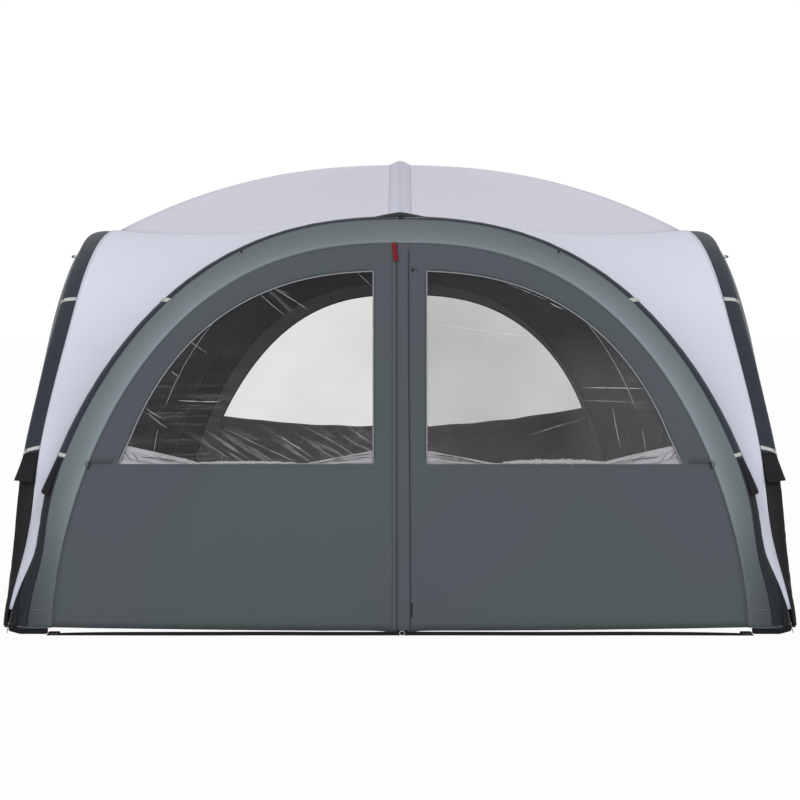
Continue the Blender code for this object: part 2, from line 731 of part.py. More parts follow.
def wall_matrix(side, depth):
    """Plane of an arch, for flat outlines: local x along the span, y up the slope, z outwards."""
    lean = Matrix.Rotation(math.pi / 2 - LEAN_ANGLE, 4, "X")
    turn = Matrix.Rotation(math.pi / 2 * side, 4, "Z")
    return turn @ Matrix.Translation((0, -FACE_AT_FOOT, 0)) @ lean @ Matrix.Translation((0, 0, -depth))


def slope(height):
    """Distance up the leaning plane at this height."""
    return height / math.cos(LEAN_ANGLE)


def inset_arch(inset, low, low_x=None, swell=0.0):
    """(x, height) up the inner edge moved inwards, from a sill at +x to the apex or an inner x."""
    u, w, nu, nw = arch_samples()
    share = np.clip((w - SWELL_START) / (ARCH_HEIGHT - SWELL_START), 0, 1) ** 1.2
    inset = inset - swell * np.abs(np.sin(math.pi * share)) ** 0.7
    x = u - inset * nu
    z = w - inset * nw
    keep = z >= low
    if low_x is not None:
        keep &= x >= low_x
    x, z = x[keep], z[keep]
    run = np.concatenate([[0.0], np.cumsum(np.hypot(np.diff(x), np.diff(z)))])
    places = np.linspace(0, run[-1], WINDOW_STEPS + 1)
    points = [(float(a), float(b)) for a, b in zip(np.interp(places, run, x), np.interp(places, run, z))]
    points[0] = (points[0][0], low)
    if low_x is not None:
        points[-1] = (low_x, points[-1][1])
    return points


def zipped_edge():
    """(x, height) up the wall's edge at +x, a seam's gap inside the band, on the band's own stations."""
    half = boot_stations()[:-1] + upper_stations()
    edge = [(u - SEAM_GAP * nu, w - SEAM_GAP * nw) for u, w, nu, nw in half]
    edge[0] = (edge[0][0], HEM_HEIGHT)
    edge[-1] = (0.0, edge[-1][1])
    return edge


def flat_piece(name, outlines, matrix, thickness, slot, front=0.0):
    """Flat outline with holes; its outer face lies this far out of the plane."""
    curve = bpy.data.curves.new(name, "CURVE")
    curve.dimensions = "2D"
    curve.fill_mode = "BOTH"
    curve.extrude = thickness / 2
    for outline in outlines:
        spline = curve.splines.new("POLY")
        spline.points.add(len(outline) - 1)
        for target, (x, z) in zip(spline.points, outline):
            target.co = (x, slope(z), 0, 1)
        spline.use_cyclic_u = True
    obj = add_object(name, curve, slot)
    obj.matrix_world = matrix @ Matrix.Translation((0, 0, front - thickness / 2))
    return obj


def mirrored(points):
    """The same outline at the other hand."""
    return [(-x, z) for x, z in points]


def leaf_outline(hand):
    """Outline of the left (-1) or right (+1) door leaf, inside the arch's inner edge."""
    edge = zipped_edge()
    meet = ZIP_X + hand * SEAM_GAP
    top = edge[-1][1]
    if hand > 0:
        return edge + [(meet, top), (meet, HEM_HEIGHT)]
    return mirrored(edge[:-1]) + [(meet, top), (meet, HEM_HEIGHT)]


def window_outline(grow=0.0):
    """Front window at +x, bounded by the inset arch, the sill and an upright inner edge."""
    edge = inset_arch(WINDOW_INSET - grow, WINDOW_SILL - grow, WINDOW_INNER_X - grow, WINDOW_SWELL)
    return edge + [(WINDOW_INNER_X - grow, WINDOW_SILL - grow)]


def build_doors():
    """The two door leaves with panes, curtains, zip, placket, slider and pull."""
    plane = wall_matrix(0, 0.0)
    for label, hand in (("left", -1), ("right", 1)):
        window = window_outline()
        lap = window_outline(WINDOW_LAP)
        if hand < 0:
            window, lap = mirrored(window), mirrored(lap)
        flat_piece(f"door_leaf_{label}", [leaf_outline(hand), window], plane, CLOTH, "wall")
        flat_piece(f"door_pane_{label}", [lap], plane, PANE, "clear", front=-CLOTH - GAP)
        build_curtain(label, hand)

    zip_top = ARCH_HEIGHT - PLACKET_TOP_CLEARANCE / 3
    tape_right = ZIP_X - 2 * SEAM_GAP
    tape = rectangle(tape_right - ZIP_TAPE_WIDTH, tape_right, HEM_HEIGHT + 0.01, zip_top)
    flat_piece("zip_tape", [tape], plane, ZIP_TAPE_THICKNESS, "sleeve", front=ZIP_TAPE_THICKNESS + GAP)
    left = ZIP_X + SEAM_GAP
    top = ARCH_HEIGHT - PLACKET_TOP_CLEARANCE
    placket = rectangle(left, left + PLACKET_WIDTH, HEM_HEIGHT, top)
    flat_piece("door_placket", [placket], plane, PLACKET_THICKNESS, "wall", front=PLACKET_THICKNESS + GAP)
    build_slider(plane, tape_right)


def rectangle(x_low, x_high, z_low, z_high):
    """Corners of an upright rectangle in a wall's plane."""
    return [(x_low, z_low), (x_high, z_low), (x_high, z_high), (x_low, z_high)]


def build_slider(plane, tape_right):
    """Zip slider at the top of the zip, and the pull hinged on its lower end."""
    width, height, depth = SLIDER_SIZE
    x = tape_right - GAP - max(width, PULL_WIDTH) / 2
    low = ZIP_TAPE_THICKNESS + 2 * GAP
    centre = plane @ Vector((x, slope(SLIDER_TOP) - height / 2, low + depth / 2))
    turn = plane.to_3x3().to_4x4()
    bm = bmesh.new()
    bmesh.ops.create_cube(bm, size=1.0, matrix=Matrix.Diagonal((width, height, depth, 1.0)))
    slider = object_from_bmesh("zip_slider", bm, "metal", smooth=False)
    slider.matrix_world = Matrix.Translation(centre) @ turn
    edge = slider.modifiers.new("edge", "BEVEL")
    edge.width = 0.0015
    edge.segments = 1

    pivot = plane @ Vector((x, slope(SLIDER_TOP) - height - PULL_DROP, low + depth / 2))
    bm = bmesh.new()
    size = (PULL_WIDTH, PULL_LENGTH, PULL_THICKNESS)
    matrix = Matrix.Translation((0, PULL_HEAD - PULL_LENGTH / 2, 0)) @ Matrix.Diagonal((*size, 1.0))
    bmesh.ops.create_cube(bm, size=1.0, matrix=matrix)
    pull = object_from_bmesh("zip_pull", bm, "red", smooth=False)
    pull.matrix_world = Matrix.Translation(pivot) @ turn


def build_curtain(label, hand):
    """Window curtain gathered down along the sill inside: a long soft fold that sags in the middle."""
    inner = WINDOW_INNER_X - WINDOW_LAP
    outer = window_outline()[0][0]
    steps = 16
    ring = 8
    bm = bmesh.new()
    rings = []
    depth_to_back = CLOTH + PANE + 2 * GAP
    for index in range(steps + 1):
        share = index / steps
        x = hand * (inner + (outer - inner) * share)
        top = CURTAIN_END_TOP - CURTAIN_SAG * 4 * share * (1 - share)
        fold = 1 + 0.12 * math.cos(math.pi * 6 * share)
        middle = top - CURTAIN_HEIGHT / 2
        back = CURTAIN_DEPTH / 2 * fold
        points = []
        for corner in range(ring):
            angle = 2 * math.pi * (corner + 0.5) / ring
            n = depth_to_back + back * (1 + math.cos(angle) / math.cos(math.pi / ring))
            z = middle + CURTAIN_HEIGHT / 2 * math.sin(angle)
            points.append(bm.verts.new((x, -(FACE_AT_FOOT - ARCH_LEAN * z) + n, z)))
        rings.append(points)
    for loop, after in zip(rings, rings[1:]):
        for corner in range(ring):
            beside = (corner + 1) % ring
            bm.faces.new((loop[corner], loop[beside], after[beside], after[corner]))
    bm.faces.new(rings[0][::-1])
    bm.faces.new(rings[-1])
    object_from_bmesh(f"sill_curtain_{label}", bm, "curtain")


def full_outline(inset, low):
    """Symmetric outline across the whole arch, closed along its sill or hem."""
    half = inset_arch(inset, low)
    half[-1] = (0.0, half[-1][1])
    return half + mirrored(half[:-1])[::-1]


def build_closed_walls():
    """Rear wall with its window, and the two plain side walls."""
    rear = wall_matrix(2, 0.0)
    window = full_outline(REAR_WINDOW_INSET, REAR_WINDOW_SILL)
    lap = full_outline(REAR_WINDOW_INSET - WINDOW_LAP, REAR_WINDOW_SILL - WINDOW_LAP)
    edge = zipped_edge()
    wall = edge + mirrored(edge[:-1])[::-1]
    flat_piece("rear_wall", [wall, window], rear, CLOTH, "wall")
    flat_piece("rear_window", [lap], rear, PANE, "clear", front=-CLOTH - GAP)
    for side, label in ((1, "right"), (3, "left")):
        flat_piece(f"side_wall_{label}", [wall], wall_matrix(side, 0.0), CLOTH, "wall")


def build_toggles():
    """Tie-back toggles for the rolled door leaves, on the band beside the doorway."""
    n = -bulge(TOGGLE_ACROSS) - TOGGLE_DIAMETER / 2 - TOGGLE_CLEARANCE
    for sign, label in ((1, "right"), (-1, "left")):
        stations = leg_stations(sign, TOGGLE_HEIGHT, TOGGLE_HEIGHT + TOGGLE_LENGTH, 1)
        ends = [place(0, station, TOGGLE_ACROSS * BAND_WIDTH, n) for station in stations]
        bm = bmesh.new()
        cylinder(bm, ends[0], ends[1], TOGGLE_DIAMETER, 8)
        object_from_bmesh(f"tieback_toggle_{label}", bm, "plastic")


def main():
    clear_scene()
    for name in ("shelter_tent", "cutters"):
        if name not in bpy.data.collections:
            bpy.context.scene.collection.children.link(bpy.data.collections.new(name))
    for side in range(4):
        build_arch(side)
    build_roof_beams()
    build_canopy()
    build_legs()
    build_feet()
    build_straps()
    build_doors()
    build_closed_walls()
    build_toggles()


main()
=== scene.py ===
"""Air-beam shelter tent: cloth, films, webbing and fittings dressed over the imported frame.

World frame: origin on the ground at the middle of the square, +Z up, the doorway faces -Y. A point
of an arch is given by a station (u, w, nu, nw) on its inner edge, plus r (outwards in the arch's own
plane) and n (inwards from the arch's outer face). The front arch is side 0, and each next side is
it turned a quarter turn about the vertical axis.
"""
import math

import bmesh
import bpy
import numpy as np
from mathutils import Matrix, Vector


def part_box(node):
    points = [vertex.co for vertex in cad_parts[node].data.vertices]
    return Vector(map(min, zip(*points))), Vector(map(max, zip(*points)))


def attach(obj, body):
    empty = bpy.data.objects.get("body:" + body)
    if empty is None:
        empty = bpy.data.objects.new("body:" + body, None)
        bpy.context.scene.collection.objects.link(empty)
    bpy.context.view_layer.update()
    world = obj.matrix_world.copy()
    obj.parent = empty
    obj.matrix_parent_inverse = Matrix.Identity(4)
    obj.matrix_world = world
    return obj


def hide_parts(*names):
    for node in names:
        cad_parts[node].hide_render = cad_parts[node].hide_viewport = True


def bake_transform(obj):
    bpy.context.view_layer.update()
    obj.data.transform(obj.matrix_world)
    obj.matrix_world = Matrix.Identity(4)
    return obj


# Arch
HALF_SPAN = 1.65
ARCH_HEIGHT = 1.85
SIDE_POWER = 2.45
TOP_POWER = 1.75
FACE_AT_FOOT = HALF_SPAN + 0.212
LEAN = 0.070
BAND_WIDTH = 0.108
EDGE_WIDTH_APEX = 0.012
EDGE_WIDTH_FOOT = 0.047
EDGE_DEPTH_FOOT = -0.002     # how far behind the face the strip ends: at the ground,
EDGE_DEPTH_LEG = 0.058       # from LEG_TAPER_TOP up,
EDGE_DEPTH_TOP = 0.098       # and from TOP_TAPER_END up
LEG_TAPER_TOP = 0.55
TOP_TAPER_START = 0.70
TOP_TAPER_END = 1.45
SHOULDER_LEG = 0.026         # how far the band's outer edge stands out of the face, on a leg
BULGE_LEG = 0.002            # how far the band's middle stands out beyond a straight rise to there
BULGE_TOP = 0.0125           # the same over the arch, where the shoulder has died away
ROLL_BACK = 0.016            # how far the band's outer edge rolls back, on the arch's shoulders
BAND_LAP = 0.07              # share of its width by which the band laps over the wall's edge
LEG_NARROWING = 0.030        # of the band where a leg is slimmest
SLIM_HEIGHT = 0.36
CORNER_REACH = 0.028         # how much wider the dark strip grows towards the foot
TIP_REACH = 0.006            # and again beside the canopy's tip
SEAM_GAP = 0.0006
LEG_BASE = 0.0303
BEAM_PLACE = (0.054, 0.0435, 0.0560)  # beam's centre out from the wall's edge, in from the face; radius

# Canopy
PEAK_HEIGHT = ARCH_HEIGHT + 0.495
RIDGE_POWER = 2.25
SEAM_BOW_OUT = 0.10
SEAM_BOW_DOWN = 0.055
SILVER_TIP = 0.10
FOOT_STITCH_HEIGHT = 0.115
CROWN_OPENING = 0.04
CORNER_CUT = (2.20, 2.20)      # flat width and length of a corner panel, over its seam and its tip
SLEEVE_WIDTH = 0.112
GUSSET_HALF = 0.15
GUSSET_RISE = 0.026
SLEEVE_RISE = 0.009
ROOF_LIFT = 0.0070           # of a roof cloth over the frame's net
SEAM_LIFT = 0.0076           # and of the seams' stitches
PANEL_COLUMNS = 6            # of the frame's own net, which the finer net here follows
ROOF_ROWS = 9
STRIP_STEPS = 14
BOOT_STEPS = 8
ROW_SPLIT = 3                # each row and column of that net is cut into this many here
COLUMN_SPLIT = 5
RELAX_ROUNDS = 6000

# Legs and feet
FLAP_TOP = 0.778
FLAP_LENGTH = 0.135
FLAP_BOTTOM = FLAP_TOP - FLAP_LENGTH
BOOT_TOP = FLAP_TOP + 0.004
TAB_RING = 0.0075            # radius of a tab's ring
TAB_SPAN = 0.06              # of strip above and below a tab, on which it is laid out
BLOCK_BEVEL = 0.002
FLAP_FLARE = 0.032
FLAP_EDGES = (0.12, 0.98)    # across the strip
FLAP_SLANT = 0.20            # how much shorter a flap is at the band than at the canopy
TAB_HEIGHTS = (FLAP_TOP + 0.019, 1.48)
TAB_WIDTH = 0.016
GUY_LOOP_HEIGHT = 1.715
GUY_LOOP_RADIUS = 0.0030
PIPING_RADIUS = 0.0022       # round the bands' feet
CORD_RADIUS = 0.0019         # of the corner cords
FOLD_TOP = 0.40              # where the black fold beside the canopy's tip runs out
TAB_SLANTS = ((-0.012, -0.025), (0.024, 0.006))  # low and high tab's rise: front and rear, sides
PAD_OUTER = FACE_AT_FOOT + 0.003
PAD_SIZE = 0.23
PAD_INNER = PAD_OUTER - PAD_SIZE
CUP_INNER = PAD_INNER + 0.028  # the cup's moulded end, a little inside the pad's
CUP_TAPER = 0.075            # how far its hidden inner corner is cut back
PAD_CHAMFER = 0.07
PAD_HEIGHT = 0.030
STRAP_OUTER = PAD_OUTER + 0.025
STRAP_WIDTH = 0.045
STRAP_TILT = 0.008           # its inner edge stands up a little between the cups
BUCKLE_IN = 0.033            # from a strap's end at the cup to its buckle's middle
BUCKLE_STEP = 0.022          # between its bars
BUCKLE_SIDE = 0.0205         # from its middle line to a rail
BUCKLE_BAR = (0.007, 0.044, 0.009)
BUCKLE_RAIL = (0.050, 0.006, 0.010)
HOOK_X = 0.010
HOOK_RADIUS = 0.0062         # of each prong of the hem's hook

# Walls
HEM_HEIGHT = 0.032
HEM_SAG = 0.017              # of the hem's middle
HOOK_SAG = 0.010             # more, where the hook holds it down
DOOR_CUT = (1.64, 1.82)      # flat width and length that a door leaf is cut from,
REAR_CUT = (3.30, 1.82)      # and the rear wall
ZIP_X = -0.014
TAPE_WIDTH = 0.024
PLACKET_WIDTH = 0.058
PLACKET_TOGGLE_HEIGHT = 1.717
PLACKET_TOGGLE_RADIUS = 0.0042
WINDOW_INSET = 0.14
WINDOW_SWELL = 0.028         # how much nearer the arch's edge the windows come, above SWELL_START
SWELL_START = 1.0
WINDOW_SILL = 0.80
WINDOW_INNER_X = 0.127
CURTAIN_FOLD_SHADOWS = (            # painted shadows of the curtain's folds: both ends as (share of the width, height over the sill), then a fold's width
    ((0.01, 0.050), (0.20, 0.012), 0.008), ((0.05, 0.020), (0.24, 0.004), 0.006),
    ((0.02, 0.034), (0.15, 0.010), 0.005), ((0.985, 0.070), (0.945, 0.012), 0.009),
    ((0.945, 0.055), (0.915, 0.008), 0.007), ((0.92, 0.034), (0.72, 0.006), 0.006),
    ((0.97, 0.040), (0.99, 0.012), 0.006), ((0.86, 0.040), (0.80, 0.008), 0.005))
CURTAIN_INNER_RISE = 0.062   # how far a window curtain is pulled up over the sill at its inner end,
CURTAIN_OUTER_RISE = 0.092   # and at its outer end
CURTAIN_DROP = 0.055         # how far it hangs below the sill
CURTAIN_DEPTH = 0.013        # behind the wall's plane
ROLL_START = 0.30            # shares of its width between which its roll lies
ROLL_END = 0.70
ROLL_SIZES = {"left": 0.012, "right": 0.019}
REAR_INSET = 0.24
REAR_SILL = 0.76
REAR_SAG = 0.072
REAR_SWELLS = {1: (-0.016, 0.76), -1: (0.060, 0.30)}  # how much fuller each half is, from which height
COVER_LIFT = 0.068             # how much higher the rolled-down cover hangs at one corner
COVER_DROP = 0.16            # height of the cover's folds together
COVER_DEPTH = 0.020          # of the cover behind the wall's plane
REAR_BORDER = 0.155          # width of the dark border of painted shade inside the rear arch
BORDER_FOOT = 0.36           # height at which it starts
BORDER_DEPTH = 0.010
BINDING_WIDTH = 0.0055
TOGGLE_ACROSS = -0.16        # of the band's width, so they hang just inside its inner edge
TOGGLE_BELOW = 0.012         # the sill
FILM_CREASE_HIGHLIGHTS = {             # painted highlights of sharp creases: start, end and width of each, as x and z on the wall
    "left": (
        ((-0.62, 1.64), (-0.425, 1.52), 0.006), ((-0.66, 1.66), (-0.48, 1.50), 0.003),
        ((-0.69, 1.63), (-0.53, 1.49), 0.003), ((-1.05, 1.10), (-0.84, 1.095), 0.008),
        ((-1.01, 1.39), (-0.91, 1.32), 0.005), ((-1.08, 1.24), (-1.04, 1.21), 0.004),
        ((-1.21, 1.07), (-1.11, 1.01), 0.004), ((-0.92, 0.96), (-0.71, 0.82), 0.004),
        ((-0.83, 0.97), (-0.48, 0.805), 0.004), ((-0.65, 0.98), (-0.38, 0.81), 0.003),
        ((-0.48, 0.99), (-0.24, 0.86), 0.003), ((-0.26, 0.99), (-0.13, 0.90), 0.003),
        ((-0.21, 1.71), (-0.135, 1.64), 0.003), ((-0.64, 1.63), (-0.50, 1.50), 0.003),
        ((-0.60, 1.63), (-0.52, 1.60), 0.003), ((-1.19, 1.04), (-1.10, 0.97), 0.004),
        ((-0.88, 0.93), (-0.75, 0.845), 0.004), ((-0.56, 0.93), (-0.46, 0.87), 0.006)),
    "right": (
        ((0.85, 1.16), (1.16, 1.155), 0.008), ((0.16, 1.46), (0.61, 1.40), 0.006),
        ((0.51, 1.65), (0.69, 1.575), 0.004), ((0.71, 1.56), (0.78, 1.53), 0.007),
        ((1.005, 1.07), (1.045, 0.87), 0.005), ((0.86, 1.10), (1.14, 1.09), 0.003),
        ((0.60, 0.93), (0.86, 1.01), 0.003)),
}
STREAK_INNER = 1.03          # level streaks of painted highlight start where |x| + 0.3 z passes this,
STREAK_TOP = 1.42            # below this height
DRAG_ANGLE = 0.55            # slant of the film's painted drag-line highlights near the sill, in radians
DRAG_TOP = 0.99              # they show on the left leaf, below this height,
DRAG_OUTER = 1.10            # and from this distance to the middle
CRACKLE_TOP = 1.02           # height below which painted highlights of fine crease fans show
STREAK_SHARE = 0.28          # how strong each shows, as a share of a film's streaks: level ones,
STREAK_RIGHT = 0.06          # what the right leaf has more of them,
DRAG_SHARE = 0.45            # drag lines,
CRACKLE_SHARE = 0.40         # fine creases,
VEIL_SHARE = 0.11            # and an even veil on the right leaf's outer end
CLOUD_SHARE = 0.70           # part of the haze that is cloudy
PULL_WIDTH = 0.0215
PULL_LENGTH = 0.054

# Cloth
CLOTH = 0.0012
THIN_CLOTH = 0.0008          # curtains, linings and tapes
WEBBING = 0.0014
FILM = 0.0005
FILM_LAP = 0.008             # of a film over its window's edge
FILM_DEPTH = 0.0042          # of a film behind the wall's plane
GLINT_DEPTH = 0.0022         # of its painted crease highlights,
FOLD_DEPTH = 0.0052          # of the curtain's painted fold shadows,
WALL_DEPTH = 0.0006          # and of a wall's cloth, behind that plane
BILLOW = 0.0022              # of a hanging wall, and the seeds of its shape
FRONT_SEED = 211
REAR_SEED = 311
SIDE_SEED = 351
FOLD_CLOTH = 0.0012          # of the black fold at a leg's foot
STITCH_PITCH = 0.009
STITCH_LENGTH = 0.006
STITCH_WIDTH = 0.0011
ROW_GAP = 0.012              # between the two rows of stitches of a seam
LOOK_AHEAD = 0.001           # along a path on either side of a stitch, to find its direction
LEAST_SINE = 0.05            # below this a tube's path counts as running along its guide

# Stage
FLOOR_HALF = 60.0
FLOOR_HEIGHT = -0.0005
WORLD_LEVEL = 0.47
LAMPS = (                    # name, strength, softness in degrees, direction
    ("key", 1.85, 60, (0.0, 1.0, -0.42)),
    ("fill", 0.42, 90, (0.0, -0.6, -1.0)))
CAMERA_PLACE = (0.0, -9.37, 1.5737)
CAMERA_PITCH = 3.557
CAMERA_LENS = 72.39

SIDES = ("front", "right", "rear", "left")
CORNERS = ("front_left", "front_right", "rear_right", "rear_left")

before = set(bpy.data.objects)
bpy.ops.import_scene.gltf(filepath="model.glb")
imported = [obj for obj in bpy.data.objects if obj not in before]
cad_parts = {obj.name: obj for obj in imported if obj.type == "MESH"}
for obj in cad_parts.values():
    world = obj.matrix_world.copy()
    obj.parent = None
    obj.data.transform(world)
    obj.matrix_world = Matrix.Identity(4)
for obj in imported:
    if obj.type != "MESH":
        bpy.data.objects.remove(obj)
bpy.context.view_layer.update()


# Shader maths

class Value:
    """A socket whose arithmetic adds Math nodes to its own material."""

    def __init__(self, paint, socket):
        self.paint = paint
        self.socket = socket

    def _math(self, operation, first, second):
        return self.paint.put("ShaderNodeMath", {"operation": operation}, {0: first, 1: second})

    def __add__(self, other):
        return self._math("ADD", self, other)

    __radd__ = __add__

    def __sub__(self, other):
        return self._math("SUBTRACT", self, other)

    def __rsub__(self, other):
        return self._math("SUBTRACT", other, self)

    def __mul__(self, other):
        return self._math("MULTIPLY", self, other)

    __rmul__ = __mul__

    def __truediv__(self, other):
        return self._math("DIVIDE", self, other)

    def sine(self):
        return self._math("SINE", self, 0.0)

    def size(self):
        return self._math("ABSOLUTE", self, 0.0)


class Paint:
    """One material: a Principled shader and the nodes that feed it."""

    def __init__(self, name):
        self.material = bpy.data.materials.new(name)
        self.material.use_nodes = True
        self.tree = self.material.node_tree
        self.shader = self.tree.nodes["Principled BSDF"]
        self.output = self.tree.nodes["Material Output"]

    def put(self, kind, settings, values, out=0):
        """A node of this kind: its settings, then the values or links of its sockets."""
        node = self.tree.nodes.new(kind)
        for key, setting in settings.items():
            if key == "stops":
                self._set_ramp(node.color_ramp, setting)
            else:
                setattr(node, key, setting)
        for key, value in values.items():
            if isinstance(value, Value):
                self.tree.links.new(value.socket, node.inputs[key])
            else:
                node.inputs[key].default_value = value
        return Value(self, node.outputs[out])

    @staticmethod
    def _set_ramp(ramp, stops):
        while len(ramp.elements) < len(stops):
            ramp.elements.new(1.0)
        for element, (position, level) in zip(ramp.elements, stops):
            element.position = position
            element.color = (level, level, level, 1.0)

    def feed(self, name, value):
        """Link a value to a socket of the Principled shader, or set the constant there."""
        if isinstance(value, Value):
            self.tree.links.new(value.socket, self.shader.inputs[name])
        else:
            self.shader.inputs[name].default_value = value

    def place(self):
        """Where the shaded point is, in the object's own frame."""
        return self.put("ShaderNodeTexCoord", {}, {}, out=3)

    def axes(self, vector):
        """The three parts of a vector."""
        parts = self.put("ShaderNodeSeparateXYZ", {}, {0: vector})
        node = parts.socket.node
        return [Value(self, node.outputs[index]) for index in range(3)]

    def cloth_axes(self):
        """Metres across and along the cloth, from its own UV map."""
        uv = self.put("ShaderNodeUVMap", {"uv_map": "cloth"}, {})
        return self.axes(uv)[:2]

    def noise(self, vector, scale, detail=3.0, rough=0.5):
        return self.put("ShaderNodeTexNoise", {}, {
            "Vector": vector, "Scale": scale, "Detail": detail, "Roughness": rough})

    def ramp(self, value, *stops):
        return self.put("ShaderNodeValToRGB", {"stops": stops}, {0: value})

    def rise(self, value, low=0.0, high=1.0):
        """0 up to low, 1 from high on, and straight between."""
        return self.ramp(value, (low, 0.0), (high, 1.0))

    def mix(self, share, first, second):
        """Colour between two colours by a share."""
        return self.put("ShaderNodeMix", {"data_type": "RGBA"}, {0: share, 6: first, 7: second}, out=2)

    def stretched(self, vector, scale):
        """The vector with each axis scaled by its own factor."""
        return self.put("ShaderNodeMapping", {}, {"Vector": vector, "Scale": scale})

    def bump(self, height, depth, strength=1.0, under=None):
        values = {"Strength": strength, "Distance": depth, "Height": height}
        if under is not None:
            values["Normal"] = under
        return self.put("ShaderNodeBump", {}, values)


def ink(red, green, blue):
    """Linear colour of an 8-bit screen colour."""
    def linear(level):
        share = level / 255
        return share / 12.92 if share <= 0.04045 else ((share + 0.055) / 1.055) ** 2.4
    return (linear(red), linear(green), linear(blue), 1.0)


def scaled(colour, factor):
    """The colour made darker or lighter."""
    return tuple(min(1.0, part * factor) for part in colour[:3]) + (1.0,)


def cloth_paint(name, colour, rough=0.75, thread=0.0011, depth=0.00012, tone=0.06, sheen=0.15,
                creases=0.0012, shade=None, painted_shade_heights=None, painted_shade_across=None):
    """Woven cloth: plain weave in relief, slow changes of tone, fine creases; painted shade up and across
    it, where given.
    """
    paint = Paint(name)
    across, along = paint.cloth_axes()
    turn = 2 * math.pi / thread
    warp = (across * turn).sine()
    weft = (along * turn).sine()
    weave = warp * weft
    place = paint.place()
    broad = paint.noise(place, 1.3, 2.0)
    fine = paint.noise(place, 90.0, 2.0, 0.6)
    level = (broad - 0.5) * (2 * tone) + (fine - 0.5) * tone + weave * (tone * 0.25) + 0.5
    pale = scaled(colour, 1 + 2 * tone)
    deep = scaled(colour, 1 - 2 * tone)
    base = paint.mix(level, deep, pale)
    if shade is not None:
        cover = paint.rise(paint.noise(place, 0.9, 1.0), 0.42, 0.62)
        base = paint.mix(cover * 0.45, base, shade)
    # Painted shade up the cloth: its colour darkened by height, as listed.
    if painted_shade_heights:
        _, _, height = paint.axes(place)
        dark = paint.ramp(height / 2.0, *painted_shade_heights)
        base = paint.mix(dark, (0.0, 0.0, 0.0, 1.0), base)
    # Painted shade across the cloth: its colour darkened by the distance across it, as listed.
    if painted_shade_across:
        dark = paint.ramp(across / BAND_WIDTH + 0.5, *painted_shade_across)
        base = paint.mix(dark, (0.0, 0.0, 0.0, 1.0), base)
    paint.feed("Base Color", base)
    paint.feed("Roughness", paint.ramp(fine, (0.0, rough - 0.08), (1.0, rough + 0.06)))
    paint.feed("Sheen Weight", sheen)
    paint.feed("Specular IOR Level", 0.3)
    ripple = paint.noise(paint.stretched(place, (1.0, 1.0, 0.6)), 5.0, 4.0, 0.55)
    soft = paint.bump(ripple, creases * 6, 0.5)
    paint.feed("Normal", paint.bump(weave, depth, 0.6, soft))
    return paint.material


def webbing_paint(name, colour, rib=0.0022):
    """Narrow webbing: ribs across it and a fine herringbone along it."""
    paint = Paint(name)
    across, along = paint.cloth_axes()
    ribs = (along * (2 * math.pi / rib)).sine()
    twill = ((across + along) * (2 * math.pi / (rib * 0.6))).sine()
    level = ribs * 0.10 + twill * 0.06 + 0.5
    worn = paint.rise(paint.noise(paint.place(), 40.0, 4.0), 0.45, 0.8)
    base = paint.mix(level, scaled(colour, 0.75), scaled(colour, 1.25))
    base = paint.mix(worn * 0.25, base, scaled(colour, 1.7))
    paint.feed("Base Color", base)
    paint.feed("Roughness", 0.8)
    paint.feed("Normal", paint.bump(ribs + twill * 0.5, 0.0003, 0.7))
    return paint.material


def film_paint(name, haze, tint, streaks, dull_right=0.0):
    """Clear film: a faint haze, and painted highlights in its tint: level streaks near the arch, drag lines
    and fans of fine creases.
    """
    paint = Paint(name)
    place = paint.place()
    x, _, z = paint.axes(place)
    side = x.size()

    thin = paint.noise(paint.stretched(place, (2.2, 1.0, 75.0)), 1.0, 4.0, 0.65)
    level = paint.ramp(thin, (0.50, 0.0), (0.57, 0.30), (0.60, 1.0), (0.66, 0.2), (0.72, 0.0))
    outer = paint.rise((side + z * 0.3 - STREAK_INNER) * 5.0)
    patchy = paint.rise(paint.noise(place, 2.3, 3.0) - x * 0.06, 0.42, 0.66)
    outer = outer * paint.rise((STREAK_TOP - z) * 4.5)
    level = level * outer * patchy

    drag = paint.noise(paint.stretched(paint.put("ShaderNodeMapping", {}, {
        "Vector": place, "Rotation": (0.0, -DRAG_ANGLE, 0.0)}), (2.2, 1.0, 46.0)), 1.0, 3.0, 0.6)
    below = paint.rise((DRAG_TOP - z) * 8.0) * paint.rise(x * -8.0)
    below = below * paint.rise((x + DRAG_OUTER) * 5.0)
    drag = paint.ramp(drag, (0.55, 0.0), (0.60, 1.0), (0.66, 0.0)) * below

    crackle = paint.put("ShaderNodeTexVoronoi", {"feature": "DISTANCE_TO_EDGE"}, {
        "Vector": place, "Scale": 26.0})
    crack = paint.ramp(crackle, (0.0, 1.0), (0.035, 0.0))
    low = paint.rise((CRACKLE_TOP - z) * 5.0)
    crack = crack * low * paint.rise(paint.noise(place, 4.3, 2.0), 0.52, 0.60)

    cloudy = paint.rise(paint.noise(place, 1.3, 2.0), 0.35, 0.75)
    right = paint.rise(x * 2.0 + 0.5, 0.3, 0.7)
    # Streaks, drag lines and crease fans: painted highlights, the film's tint made less see-through along
    # them.
    alpha = level * (streaks * STREAK_SHARE) + level * right * (streaks * STREAK_RIGHT)
    alpha = alpha + drag * (streaks * DRAG_SHARE)
    alpha = alpha + crack * (streaks * CRACKLE_SHARE) + cloudy * (haze * CLOUD_SHARE) + haze
    alpha = alpha + outer * right * (streaks * VEIL_SHARE)
    if dull_right:
        alpha = alpha + right * dull_right
    paint.feed("Alpha", alpha)
    paint.feed("Base Color", tint)
    paint.feed("Roughness", paint.ramp(thin, (0.3, 0.12), (0.7, 0.28)))
    paint.feed("IOR", 1.5)
    crease = level + drag * 0.8
    paint.feed("Normal", paint.bump(crease, 0.003, 0.6))
    return paint.material


